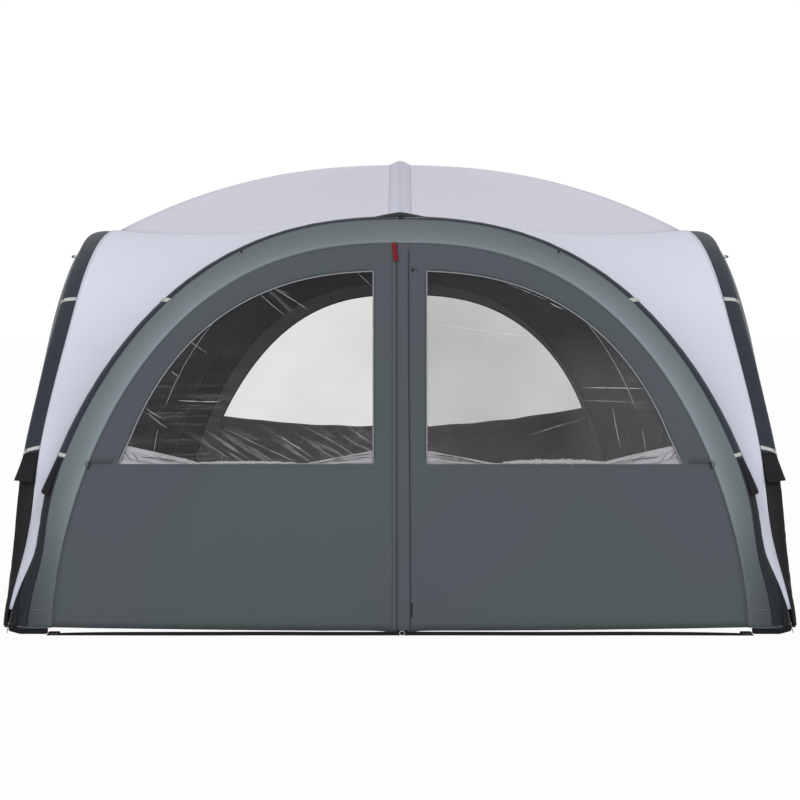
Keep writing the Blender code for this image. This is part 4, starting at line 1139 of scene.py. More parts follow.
def build_ring(name, side, row):
    """Small steel ring that hangs on a webbing tab."""
    centre = on_strip(side, row, [0.42], 0.0105)[0, 0]
    out = strip_normal(side, row, 0.42)[0]
    along = unit(on_strip(side, row, [0.6], 0.0105)[0, 0] - centre)
    up = np.cross(out, along)
    path = loop_about(centre - out * 0.002, TAB_RING * up, TAB_RING * (0.5 * out + 0.85 * along), 24)
    trim_piece(name, tube_grid(path, 0.0012, 8), "steel", "tent")


# Canopy

def net_places():
    """Arc lengths of the frame's corner rows, then finer ones between them."""
    tip = run_at(SILVER_TIP)
    boot = np.linspace(run_at(LEG_BASE), run_at(BOOT_TOP), BOOT_STEPS + 1)[:-1]
    upper = np.linspace(run_at(BOOT_TOP), run_at(ARCH_HEIGHT), STRIP_STEPS + 1)
    coarse = np.concatenate([[tip], boot[boot > tip], upper])
    index = np.linspace(0, len(coarse) - 1, (len(coarse) - 1) * ROW_SPLIT + 1)
    return np.interp(index, np.arange(len(coarse)), coarse)


def ridge_height(run):
    """Height of a roof crest at this distance from the peak: peak minus drop (run / reach) to a power."""
    reach, low = RIDGE_FOOT
    return PEAK_HEIGHT - (PEAK_HEIGHT - low) * (run / reach) ** RIDGE_POWER


def ridge_foot():
    """Distance and height of the canopy's edge at an arch's apex."""
    row = stations(np.array([run_at(ARCH_HEIGHT)]))
    r, n = strip_rn(row, [1.0])
    apex = on_arch(0, row, r, n + SEAM_GAP)[0, 0]
    return -apex[1], apex[2]


RIDGE_FOOT = ridge_foot()


def canopy_quarter(side):
    """Net between two neighbouring arches and crests, relaxed under even pull: (corner, roof) grids."""
    rows = stations(net_places())
    r, n = strip_rn(rows, [1.0])
    here = on_arch(side, flipped(rows), r, n + SEAM_GAP)[:, 0]
    there = on_arch((side + 3) % 4, rows, r, n + SEAM_GAP)[:, 0]
    reach, _ = RIDGE_FOOT
    runs = np.linspace(reach, CROWN_OPENING, ROOF_ROWS * ROW_SPLIT + 1)[1:]
    crest = xyz(0.0, -runs, ridge_height(runs))
    seam = len(rows) - 1
    start = np.concatenate([here, turned(side, crest)])
    end = np.concatenate([there, turned((side + 3) % 4, crest)])
    columns = PANEL_COLUMNS * COLUMN_SPLIT
    share = np.linspace(0, 1, columns + 1)[:, None]
    net = start[:, None] * (1 - share) + end[:, None] * share
    reach_out = SEAM_BOW_OUT / math.sqrt(2)
    bow = turned(side, np.array([-reach_out, -reach_out, -SEAM_BOW_DOWN]))
    net[seam] += 4 * share * (1 - share) * bow
    held = net[seam].copy()
    across_pull, along_pull = COLUMN_SPLIT ** 2, ROW_SPLIT ** 2
    for _ in range(RELAX_ROUNDS):
        across = net[1:-1, :-2] + net[1:-1, 2:]
        along = net[:-2, 1:-1] + net[2:, 1:-1]
        net[1:-1, 1:-1] = (across * across_pull + along * along_pull) / (2 * (across_pull + along_pull))
        net[seam] = held
    return net[:seam + 1], net[seam:]


def lifted(grid, height):
    """The grid moved out along its own normals."""
    along = np.gradient(grid, axis=0)
    across = np.gradient(grid, axis=1)
    normal = np.cross(across, along)
    size = np.linalg.norm(normal, axis=-1, keepdims=True)
    normal = np.where(size > 1e-12, normal / np.maximum(size, 1e-12), 0.0)
    outward = np.sign((normal * (grid - np.array([0, 0, 0.6]))).sum(axis=-1, keepdims=True))
    height = np.asarray(height)
    return grid + normal * outward * (height[..., None] if height.ndim else height)


def build_canopy():
    """Silver corner panels and roof cloths, with a turned seam between them, and the ridge sleeve."""
    quarters = [canopy_quarter(side) for side in range(4)]
    for side, (corner, _) in enumerate(quarters):
        label = CORNERS[side]
        share = np.linspace(0, 1, corner.shape[1])[None, :]
        rise = np.linspace(0, 1, corner.shape[0])[:, None]
        edge = np.minimum(share, 1 - share)
        pull = np.exp(-edge / 0.10) * np.sin(math.pi * np.clip(rise * 1.1, 0, 1))
        ripple = waves(rise * 2.6 + 0.4 * edge, 131 + side, 0.22, 0.0022) * pull * (edge > 0)
        tip_folds = 0.004 * np.sin(8 * math.pi * share) * np.exp(-rise / 0.10) * np.sin(math.pi * share)
        grid = lifted(corner, 0.0022 + 0.0048 * eased(rise, 0.8, 1.0) + ripple + tip_folds)
        cloth_piece(f"canopy_corner_{label}", outwards(grid), "silver", "tent",
                    [f"corner_panel_{label}"],
                    inner="lining_top", size=CORNER_CUT)
    roofs = [roof for _, roof in quarters]
    for label, first, second in (("left", roofs[0], roofs[3]), ("right", roofs[2], roofs[1])):
        grid = lifted(np.concatenate([first, second[:, 1:]], axis=1), ROOF_LIFT)
        cloth_piece(f"canopy_roof_{label}", outwards(grid), "roof", "tent", [f"roof_panel_{label}"],
                    inner="lining_top")
    build_seams(quarters)
    build_ridge_sleeve(roofs)


def build_seams(quarters):
    """Lapped seam along each corner's upper edge with one row of stitches on either side."""
    paths, normals = [], []
    for side, (corner, roof) in enumerate(quarters):
        below, above = lifted(corner, SEAM_LIFT), lifted(roof, SEAM_LIFT)
        outward = turned(side, np.array([-0.4, -0.4, 0.8]))
        paths += [below[-2] * 0.10 + below[-1] * 0.90, above[1] * 0.10 + above[0] * 0.90]
        normals += [outward, outward]
        lap = np.stack([paths[-2], (paths[-2] + paths[-1]) / 2 + outward * 0.0006, paths[-1]])
        trim_piece(f"canopy_seam_{CORNERS[side]}", outwards(lap), "silver", "tent")
    stitch_row("canopy_seam_stitches", paths, normals, "thread_pale", "tent", pitch=0.010)


def build_ridge_sleeve(roofs):
    """Raised sleeve over the ridge: its edges lie on the roof cloths and its top stands up round a beam."""
    half = SLEEVE_WIDTH / 2
    front_left = lifted(roofs[0], ROOF_LIFT)
    reach, _ = RIDGE_FOOT
    edge_y, edge_z = [], []
    for row in front_left:
        spans = -row[:, 0]
        if spans[-1] > half * 1.05:
            edge_y.append(float(np.interp(half, spans, -row[:, 1])))
            edge_z.append(float(np.interp(half, spans, row[:, 2])))
    order = np.argsort(edge_y)
    edge_y, edge_z = np.array(edge_y)[order], np.array(edge_z)[order]
    y = np.linspace(-(reach + 0.002), reach + 0.002, 140)
    seat = np.interp(np.abs(y), edge_y, edge_z)
    flatten = eased(reach - np.abs(y), 0.0, 0.16)
    crown = ridge_height(np.abs(y)) + (SLEEVE_RISE + 0.002) * flatten
    across = np.linspace(-1, 1, 33)
    profile = (1 - np.abs(across) ** 2.1) ** 1.25
    z = seat[:, None] + 0.0012 + (crown - seat)[:, None] * profile[None, :]
    ripple = waves(y, 171, 0.14, 0.0009)[:, None] * np.abs(across)[None, :] ** 4
    grid = xyz(half * across + ripple, y[:, None], z)
    cloth_piece("canopy_ridge_sleeve", outwards(grid), "ridge", "tent", ["ridge_sleeve"])
    paths = [grid[:, 1] + [0, 0, 0.0010], grid[:, -2] + [0, 0, 0.0010]]
    stitch_row("ridge_stitches", paths, [(-0.5, 0, 0.8), (0.5, 0, 0.8)], "thread_pale", "tent")
    for side in (0, 2):
        build_ridge_gusset(side)


def build_ridge_gusset(side):
    """Dark gusset that peaks over an arch's apex, with a black loop and a short pale stitch under it."""
    along = np.linspace(-1, 1, 41)
    up = np.linspace(0, 1, 8)[:, None]
    peak = GUSSET_RISE * (1 - np.hypot(along, 0.09)) - 0.008
    x = along * GUSSET_HALF
    rows = stations(np.interp(np.abs(x), ARCH[::-1, 0], ARCH_RUN[::-1]))
    foot = on_strip(0, rows, [0.35], 0.003)[:, 0]
    z = foot[:, 2] + up * (peak + 0.010)
    y = foot[:, 1] + up ** 1.4 * 0.030
    grid = turned(side, xyz(x, y, z))
    trim_piece(f"apex_gusset_{SIDES[side]}", outwards(grid), "boot_front", "tent", 0.0012)
    top = foot[len(foot) // 2]
    loop = loop_about(top * [0, 1, 1] + [0.004, -0.012, 0.004], (0.013, 0, 0), (0, 0.004, 0.006), 24)
    trim_piece(f"apex_loop_{SIDES[side]}", tube_grid(turned(side, loop), 0.0040, 8), "plastic", "tent")
    bar = xyz(np.linspace(-0.020, 0.110, 20), top[1] - 0.013, top[2] - 0.003)
    stitch_row(f"apex_stitches_{SIDES[side]}", [turned(side, bar)], side_facing(side), "thread_pale",
               "tent", pitch=0.006, length=0.0055, width=0.003)


# Walls

def edge_curve(low, steps, inset=0.0, low_x=None, swell=0.0, start=SWELL_START):
    """(x, z) up the arch's inner edge moved inwards, from a height to the apex or an inner x."""
    fine = stations(np.linspace(0, ARCH_RUN[-1], 1500))
    share = np.clip((fine[:, 1] - start) / (ARCH_HEIGHT - start), 0, 1) ** 1.2
    inset = inset - swell * np.abs(np.sin(math.pi * share)) ** 0.7
    x = fine[:, 0] - inset * fine[:, 2]
    z = fine[:, 1] - inset * fine[:, 3]
    keep = z >= low
    if low_x is not None:
        keep &= x >= low_x
    x, z = x[keep], z[keep]
    run = run_of(np.hypot(np.diff(x), np.diff(z)))
    places = np.linspace(0, run[-1], steps + 1)
    x, z = np.interp(places, run, x), np.interp(places, run, z)
    z[0] = low
    if low_x is not None:
        x[-1] = low_x
    return x, z


def edge_x(z):
    """Half width of the wall at a height."""
    return np.interp(z, ARCH[:, 1], ARCH[:, 0]) - SEAM_GAP


def edge_z(x):
    """Height of the wall's edge at a distance from the middle."""
    return np.interp(x, ARCH[::-1, 0], ARCH[::-1, 1]) - SEAM_GAP


def wall_ripple(x, z, seed):
    """Slight billow and drag lines of a hanging wall, dying out at the arch's edge."""
    free = np.clip((edge_x(np.minimum(z, ARCH_HEIGHT - 0.002)) - np.abs(x)) / 0.12, 0, 1)
    free = free * np.clip((ARCH_HEIGHT - z) / 0.15, 0, 1)
    slow = waves(x + 0.2 * z, seed, 0.9, BILLOW) + waves(z - 0.3 * x, seed + 1, 0.7, BILLOW)
    hem = waves(x, seed + 2, 0.16, BILLOW) * np.exp(-(z - HEM_HEIGHT) / 0.10)
    spread = np.arctan2(x - HOOK_X, z - HEM_HEIGHT + 0.02)
    near_hook = np.exp(-((x - HOOK_X) ** 2 + (z - HEM_HEIGHT) ** 2) / 0.07 ** 2)
    return (slow + hem) * free + 0.0030 * np.sin(9 * spread + 1.0) * near_hook


def lerp_grid(first, second, steps):
    """Grid of (x, z) between two curves of equal count, whose x may be one number."""
    share = np.linspace(0, 1, steps + 1)[None, :, None]
    first, second = (np.stack(np.broadcast_arrays(*curve), axis=1)[:, None]
                     for curve in (first, second))
    return first * (1 - share) + second * share


def leaf_zones(hand):
    """(x, z) grids of one door leaf: below the sill, beside the zip, and round the window."""
    meet = ZIP_X * hand + SEAM_GAP
    z = np.linspace(HEM_HEIGHT, WINDOW_SILL, 24)
    outer_x = edge_x(z)
    window_x, window_z = edge_curve(WINDOW_SILL, 40, WINDOW_INSET, WINDOW_INNER_X, WINDOW_SWELL)
    border_x, border_z = edge_curve(WINDOW_SILL, 40, SEAM_GAP, WINDOW_INNER_X)
    corner = window_x[0]
    zones = []
    for low, high, steps in ((meet, WINDOW_INNER_X, 5), (WINDOW_INNER_X, corner, 26), (corner, None, 7)):
        zones.append(lerp_grid((low, z), (outer_x if high is None else high, z), steps))
    upright = np.linspace(WINDOW_SILL, window_z[-1], 26)
    zones.append(lerp_grid((meet, upright), (WINDOW_INNER_X, upright), 5))
    top_x = np.linspace(meet, WINDOW_INNER_X, 6)
    share = np.linspace(0, 1, 8)[:, None]
    roof_z = edge_z(np.abs(top_x))
    top = np.stack([np.broadcast_to(top_x, (8, 6)),
                    window_z[-1] + share * (roof_z - window_z[-1])[None, :]], axis=-1)
    zones.append(top)
    border = lerp_grid((window_x, window_z), (border_x, border_z), 7)
    border[-1, :, 1] = window_z[-1] + np.linspace(0, 1, 8) * (roof_z[-1] - window_z[-1])
    zones.append(border)
    return zones, (window_x, window_z)


def build_door(label, hand):
    """One door leaf with its pane, binding, stitches and gathered curtain."""
    body = f"door_{label}"
    zones, (window_x, window_z) = leaf_zones(hand)
    grids = []
    for zone in zones:
        x, z = zone[..., 0] * hand, zone[..., 1]
        grids.append(outwards(on_wall(0, x, z, WALL_DEPTH + wall_ripple(x, z, FRONT_SEED))))
    cloth_piece(f"door_cloth_{label}", grids, "wall", body, [f"door_leaf_{label}"],
                size=DOOR_CUT, inner="lining")

    inner_x = WINDOW_INNER_X
    z = np.linspace(WINDOW_SILL - FILM_LAP, window_z[-1] + 0.006, 90)
    outer = np.interp(z, window_z, window_x, left=window_x[0], right=inner_x) + FILM_LAP
    zone = lerp_grid((inner_x - FILM_LAP, z), (np.maximum(outer, inner_x), z), 80)
    x, zz = zone[..., 0] * hand, zone[..., 1]
    grid = on_wall(0, x, zz, FILM_DEPTH + film_creases(x, zz, 241 + hand))
    cloth_piece(f"door_film_{label}", outwards(grid), "film", body, [f"door_pane_{label}"],
                thickness=FILM)
    build_crease_highlights(label, body)
    build_binding(label, hand, window_x, window_z, body)
    build_curtain(label, hand, window_x[0], body)


def film_creases(x, z, seed):
    """Soft creases in the film: sharp-topped waves that run slantwise, stronger low down."""
    slant = waves(z * 1.0 + 0.25 * np.abs(x), seed, 0.16, 1.0)
    sharp = np.abs(np.sin(slant * 2.2)) ** 0.5
    return 0.0010 * sharp + waves(x + z * 0.4, seed + 3, 0.5, 0.0012)


def build_crease_highlights(label, body):
    """Painted highlights of sharp creases in a window's film: pale slivers that taper to both ends."""
    grids = []
    for start, end, width in FILM_CREASE_HIGHLIGHTS[label]:
        start, end = np.array(start), np.array(end)
        along = np.linspace(0, 1, 16)[:, None]
        across = np.array([-(end - start)[1], (end - start)[0]]) / np.linalg.norm(end - start)
        bend = 0.004 * np.sin(math.pi * along) * math.sin(40 * start[0] + 9 * end[1])
        half = 0.6 * width / 2 * np.sin(math.pi * along) ** 0.7 + 0.0002
        middle = start + along * (end - start) + across * bend
        line = np.stack([middle - across * half, middle + across * half], axis=1)
        grids.append(outwards(on_wall(0, line[..., 0], line[..., 1], GLINT_DEPTH)))
    trim_piece(f"film_crease_highlights_{label}", grids, "glint", body)


def ribbon(path, facing, width, steps=3, sag=0.0):
    """Flat tape along a path: across it, square to the path and to the way that it faces."""
    ahead = unit(np.gradient(path, axis=0))
    across = unit(np.cross(ahead, facing))
    share = np.linspace(-0.5, 0.5, steps)
    drop = sag * (1 - (2 * share) ** 2)
    return path[:, None] + across[:, None] * (share * width)[None, :, None] \
        + np.asarray(facing)[None, None] * drop[None, :, None]


def build_binding(label, hand, window_x, window_z, body):
    """Pale binding round the window's curved and upright edges, stitched to the leaf."""
    x = np.concatenate([window_x, np.full(30, WINDOW_INNER_X)])
    z = np.concatenate([window_z, np.linspace(window_z[-1], WINDOW_SILL, 31)[1:]])
    n = wall_ripple(x * hand, z, FRONT_SEED) - 0.0006
    path = on_wall(0, x * hand, z, n)
    facing = side_facing(0)
    grids = [ribbon(path[:len(window_x)], facing, BINDING_WIDTH, 5, 0.0008),
             ribbon(path[len(window_x) - 1:], facing, BINDING_WIDTH, 5, 0.0008)]
    grids = [outwards(grid) for grid in grids]
    trim_piece(f"window_binding_{label}", grids, "binding", body, THIN_CLOTH)
    out = on_wall(0, (x + 0.004) * hand, z, n - 0.0014)
    stitch_row(f"binding_stitches_{label}", [out[:len(window_x)]], facing, "thread_pale", body, pitch=0.006,
               length=0.004, width=0.0008)
    low = WINDOW_SILL - ROW_GAP
    sill = np.linspace(WINDOW_INNER_X - 0.02, edge_x(low) - 0.004, 60) * hand
    n = wall_ripple(sill, low, FRONT_SEED) - 0.0004
    paths = [on_wall(0, sill, low - drop, n) for drop in (0.0, ROW_GAP)]
    stitch_row(f"sill_stitches_{label}", paths, facing, "thread_dark", body)


def build_curtain(label, hand, corner_x, body):
    """Window curtain let down inside the sill: pulled up at both ends, a crumpled roll between them."""
    share = np.linspace(0, 1, 110)
    low_x, high_x = WINDOW_INNER_X - 0.012, corner_x + 0.004
    x = hand * (low_x + (high_x - low_x) * share)
    inner_end = CURTAIN_INNER_RISE * np.clip(1 - share / 0.27, 0, 1)
    outer_end = CURTAIN_OUTER_RISE * np.clip((share - 0.68) / 0.32, 0, 1) ** 0.9
    crumple = 0.0035 * np.abs(waves(share, 255 + hand, 0.06, 1.0))
    crumple = crumple * np.clip((0.5 - np.abs(share - 0.48)) * 4, 0, 1)
    top = WINDOW_SILL + 0.002 + inner_end + outer_end + crumple
    down = np.linspace(0, 1, 30)
    drop = (top - WINDOW_SILL) + CURTAIN_DROP
    z = top[:, None] - drop[:, None] * down[None, :]
    slant = 9 * down[None, :] + 5 * share[:, None] + waves(share * 2, 261 + hand, 0.4, 0.8)[:, None]
    fold = np.sin(2 * math.pi * slant * 0.45) * np.sin(math.pi * down)[None, :] ** 0.5
    crease = np.abs(np.sin(math.pi * (slant * 0.5 + 6 * share[:, None]))) ** 0.4
    depth = CURTAIN_DEPTH + 0.0045 * fold + 0.0028 * crease
    grid = on_wall(0, x[:, None], z, depth)
    cloth_piece(f"window_curtain_{label}", outwards(grid), "curtain", body, [f"sill_curtain_{label}"],
                thickness=THIN_CLOTH)
    build_curtain_roll(label, hand, low_x, high_x, body)


def build_curtain_roll(label, hand, low_x, high_x, body):
    """Crumpled roll along the middle of a window curtain, and painted shadows of the folds that run to its
    ends.
    """
    share = np.linspace(ROLL_START, ROLL_END, 90)
    x = hand * (low_x + (high_x - low_x) * share)
    size = ROLL_SIZES[label] * np.sin(math.pi * (share - ROLL_START) / 0.40) ** 0.35
    crumple = np.abs(waves(share, 471 + hand, 0.03, 1.2))
    height = WINDOW_SILL + size * 0.45 + 0.002 * waves(share, 475 + hand, 0.05, 1.0)
    path = on_wall(0, x, height, 0.0060 + size * 0.4)
    rod(f"curtain_roll_{label}", path, size * (0.55 + 0.45 * crumple) + 0.0004, "curtain", body, 10)
    folds = []
    for first, last, reach in CURTAIN_FOLD_SHADOWS:
        ends = np.array([[hand * (low_x + (high_x - low_x) * place[0]), WINDOW_SILL + place[1]]
                         for place in (first, last)])
        along = np.linspace(0, 1, 14)[:, None]
        middle = ends[0] + along * (ends[1] - ends[0]) + np.array([0, 0.003]) * np.sin(math.pi * along)
        half = np.array([0, reach / 2]) * np.sin(math.pi * along) ** 0.7
        line = np.stack([middle - half, middle + half], axis=1)
        folds.append(outwards(on_wall(0, line[..., 0], line[..., 1], FOLD_DEPTH)))
    trim_piece(f"curtain_fold_shadows_{label}", folds, "fold_shadow", body)


def build_zip():
    """Zip tape with its stitches, the fine coil, and a strip of cloth behind it."""
    z = np.linspace(HEM_HEIGHT + 0.004, ARCH_HEIGHT - 0.010, 120)
    n = wall_ripple(ZIP_X, z, FRONT_SEED)
    tape_x = ZIP_X - 2 * SEAM_GAP - TAPE_WIDTH / 2
    path = on_wall(0, tape_x, z, n - 0.0007)
    facing = side_facing(0)
    trim_piece("zip_tape_cloth", outwards(ribbon(path, facing, TAPE_WIDTH, 5, 0.0004)), "wall", "door_left",
               THIN_CLOTH, replaces=["zip_tape"])
    coil = on_wall(0, ZIP_X - 0.0035, z, n - 0.0016)
    stitch_row("zip_coil", [coil], facing, "coil", "door_left", pitch=0.0026, length=0.0018, width=0.0034)
    x, zz = np.meshgrid(ZIP_X + 0.020 * np.linspace(-1, 1, 7), z)
    underlap = on_wall(0, x, zz, wall_ripple(x, zz, FRONT_SEED) + 0.0046)
    trim_piece("zip_underlap", outwards(underlap), "wall", "door_right", THIN_CLOTH)
    stitch_row("zip_tape_stitches", [on_wall(0, tape_x - 0.0085, z, n - 0.0018)], facing,
               "wall", "door_left", pitch=0.006, length=0.004, width=0.0008)


def build_placket():
    """Placket over the zip, which widens downwards, with dark piping along its edge that also gives its
    shadow line, a black rod for the shade in a slit (both painted shade), and one stitched row.
    """
    z = np.linspace(HEM_HEIGHT + 0.001, ARCH_HEIGHT - 0.010, 120)
    share = np.linspace(0, 1, 13)
    spread = 0.009 * (1 - eased(z, 0.2, 1.7))[:, None]
    puff = 0.0012 + 0.0016 * np.sin(math.pi * share) ** 0.7
    wander = waves(z, 281, 0.3, 0.0006)[:, None] * np.exp(-((z - 0.05) / 0.2) ** 2)[:, None]
    x, zz = np.meshgrid(ZIP_X + SEAM_GAP + PLACKET_WIDTH * share, z)
    x = x + spread * share
    n = wall_ripple(x, zz, FRONT_SEED) - puff[None, :] + wander
    cloth_piece("placket_cloth", outwards(on_wall(0, x, zz, n)), "placket", "door_right", ["door_placket"])
    edge = on_wall(0, x[:, -2], zz[:, -2], n[:, -2] - 0.0016)
    # Dark piping along the free edge, which also draws the shadow line that the edge casts: painted shade.
    trim_piece("placket_edge_shadow_piping", closed_tube(edge[:-2], 0.0024, 8), "sleeve", "door_right")
    # Black rod low on the edge for the shade inside a slit there: painted shade.
    slit = on_wall(0, x[4:9, -1] + 0.003, zz[4:9, -1], n[4:9, -2] - 0.0030)
    rod("placket_slit_shadow", slit, 0.0022, "boot", "door_right")
    inner = on_wall(0, x[:, 2], zz[:, 2], n[:, 2] - 0.0004)
    stitch_row("placket_stitches", [inner], side_facing(0), "thread_dark", "door_right")


def rear_sill(x, corner):
    """Height of the rear window's lower edge: a parabola that sags between its corners."""
    return REAR_SILL - REAR_SAG * np.clip(1 - (x / corner) ** 2, 0, 1)


def rear_ripple(x, z):
    """The rear wall's billow, with drag lines that slant down from the window's corners to the middle."""
    slant = waves(z + 0.32 * np.abs(x), 321, 0.085, 0.0042)
    below = np.clip((REAR_SILL + 0.03 - z) / 0.10, 0, 1) * np.clip((z - 0.25) / 0.2, 0, 1)
    return wall_ripple(x, z, REAR_SEED) + slant * below


def build_rear_wall():
    """Rear wall round its large window, then the window, its binding, a dark border of painted shade and a
    gathered cover.
    """
    windows = {hand: edge_curve(REAR_SILL, 40, REAR_INSET, swell=swell, start=start)
               for hand, (swell, start) in REAR_SWELLS.items()}
    border = edge_curve(REAR_SILL, 40, SEAM_GAP)
    corners = {hand: window[0][0] for hand, window in windows.items()}
    share = np.linspace(0, 1, 40)
    grids = []
    for hand, corner in corners.items():
        x = np.linspace(0, corner, 31)[None, :]
        z = HEM_HEIGHT + (rear_sill(x, corner) - HEM_HEIGHT) * share[:, None]
        middle = np.stack(np.broadcast_arrays(x, z), axis=-1)
        z = HEM_HEIGHT + (REAR_SILL - HEM_HEIGHT) * share
        beside = lerp_grid((corner, z), (edge_x(z), z), 8)
        for zone in (middle, beside, lerp_grid(windows[hand], border, 10)):
            x, z = zone[..., 0] * hand, zone[..., 1]
            grids.append(outwards(on_wall(2, x, z, WALL_DEPTH + rear_ripple(x, z))))
    cloth_piece("rear_cloth", grids, "wall", "tent", ["rear_wall"],
                size=REAR_CUT, inner="lining")

    build_rear_film(windows, corners)
    build_rear_binding(windows)
    build_rear_border()
    build_rear_cover(corners)


def build_rear_film(windows, corners):
    """Clear sheet of the rear window, lapped over its edge all round."""
    across = np.linspace(-1, 1, 121)[None, :]
    low_z = np.linspace(0, 1, 14)[:, None]
    corner = np.where(across > 0, corners[1], corners[-1])
    x = across * (corner + FILM_LAP)
    low = rear_sill(x, corner) - FILM_LAP
    z = low + (REAR_SILL - low) * low_z
    upright = np.linspace(REAR_SILL, windows[1][1][-1] + 0.006, 50)[1:, None]
    outer = {hand: np.interp(upright, window_z, window_x, right=0.02) + FILM_LAP
             for hand, (window_x, window_z) in windows.items()}
    x = np.concatenate([np.broadcast_to(x, z.shape), across * np.where(across > 0, outer[1], outer[-1])])
    z = np.concatenate([z, np.broadcast_to(upright, (len(upright), across.shape[1]))])
    grid = on_wall(2, x, z, FILM_DEPTH + film_creases(x, z, 331))
    cloth_piece("rear_film_sheet", outwards(grid), "rear_film", "tent", ["rear_window"],
                thickness=FILM)


def build_rear_binding(windows):
    """Binding round the rear window's arch, pale outside and dark inside."""
    (right_x, right_z), (left_x, left_z) = windows[1], windows[-1]
    x = np.concatenate([right_x, -left_x[-2::-1]])
    z = np.concatenate([right_z, left_z[-2::-1]])
    outside = ribbon(on_wall(2, x, z, -0.0006), side_facing(2), BINDING_WIDTH, 5, 0.0008)
    trim_piece("rear_binding", outwards(outside), "binding", "tent", THIN_CLOTH)
    inside = ribbon(on_wall(2, x, z, 0.0080), -side_facing(2), 0.008, 5, 0.0008)
    trim_piece("rear_binding_inside", inside, "sleeve", "tent", THIN_CLOTH)


def build_rear_border():
    """Dark cloth inside the rear arch that stands for the shade there (painted shade), with piping along
    its inner edge.
    """
    zone = lerp_grid(edge_curve(BORDER_FOOT, 60, REAR_BORDER), edge_curve(BORDER_FOOT, 60, 0.004), 6)
    zone = np.concatenate([zone, zone[-2::-1] * np.array([-1, 1])])
    x, z = zone[..., 0], zone[..., 1]
    grid = on_wall(2, x, z, BORDER_DEPTH + rear_ripple(x, z) + waves(x + z, 341, 0.2, 0.0012))
    cloth_piece("rear_border_painted_shade", grid, "lining_dark", "tent",
                thickness=THIN_CLOTH)
    trim_piece("rear_border_piping", closed_tube(grid[1:-1, 0], 0.0065, 8), "boot", "tent")


def build_rear_cover(corners):
    """Window cover rolled down inside the rear sill: loose folds that follow the sagging edge."""
    share = np.linspace(0, 1, 90)
    corner = np.where(share > 0.5, corners[1], corners[-1])
    x = (2 * share - 1) * (corner + 0.012)
    lift = COVER_LIFT * np.clip(-x / corner, 0, 1) ** 1.6
    top = rear_sill(x, corner) + 0.006 + waves(x, 345, 0.5, 0.006) + lift
    down = np.linspace(0, 1, 44)
    drop = COVER_DROP + 0.03 * np.sin(3 * math.pi * share)
    z = top[:, None] - drop[:, None] * down[None, :]
    pitch = waves(x, 347, 0.6, 1.0)[:, None]
    folds = np.sin(2 * math.pi * (4.5 * down[None, :] + 0.35 * pitch))
    depth = COVER_DEPTH + 0.011 * folds * np.sin(math.pi * np.clip(down * 1.1, 0, 1))[None, :]
    grid = on_wall(2, x[:, None], z, depth)
    cloth_piece("rear_window_cover", grid, "lining", "tent",
                thickness=THIN_CLOTH)


def build_side_wall(side):
    """Closed side wall with its hem and a seam at the height of the sills."""
    top = ARCH_HEIGHT - 0.25 * np.linspace(1, 0.0, 24)[1:] ** 1.6
    z = np.minimum(np.concatenate([np.linspace(HEM_HEIGHT, 1.6, 50), top]), ARCH_HEIGHT - SEAM_GAP)
    outer = edge_x(z)
    outer[-1] = 0.02
    x = np.linspace(-1, 1, 61)[None, :] * outer[:, None]
    zz = np.broadcast_to(z[:, None], x.shape)
    grid = on_wall(side, x, zz, WALL_DEPTH + wall_ripple(x, zz, SIDE_SEED + side))
    label = SIDES[side]
    cloth_piece(f"side_cloth_{label}", outwards(grid), "wall", "tent", [f"side_wall_{label}"],
                inner="lining_side")
    seam = np.linspace(-1, 1, 120) * (edge_x(WINDOW_SILL) - 0.004)
    n = wall_ripple(seam, WINDOW_SILL, SIDE_SEED + side) - 0.0004
    paths = [on_wall(side, seam, WINDOW_SILL - drop, n) for drop in (0.0, ROW_GAP)]
    stitch_row(f"side_stitches_{label}", paths, side_facing(side), "thread_dark", "tent")


# Feet, straps and small fittings

def rounded_outline(points, radius):
    """Closed outline with each corner rounded by a quadratic curve."""
    points = np.asarray(points, float)
    out = []
    for index, corner in enumerate(points):
        before = points[index - 1] - corner
        after = points[(index + 1) % len(points)] - corner
        reach_before = min(radius, np.linalg.norm(before) / 2)
        reach_after = min(radius, np.linalg.norm(after) / 2)
        start = corner + before / np.linalg.norm(before) * reach_before
        end = corner + after / np.linalg.norm(after) * reach_after
        share = np.linspace(0, 1, 5)[:, None]
        out.append((1 - share) ** 2 * start + 2 * share * (1 - share) * corner + share ** 2 * end)
    return np.concatenate(out)


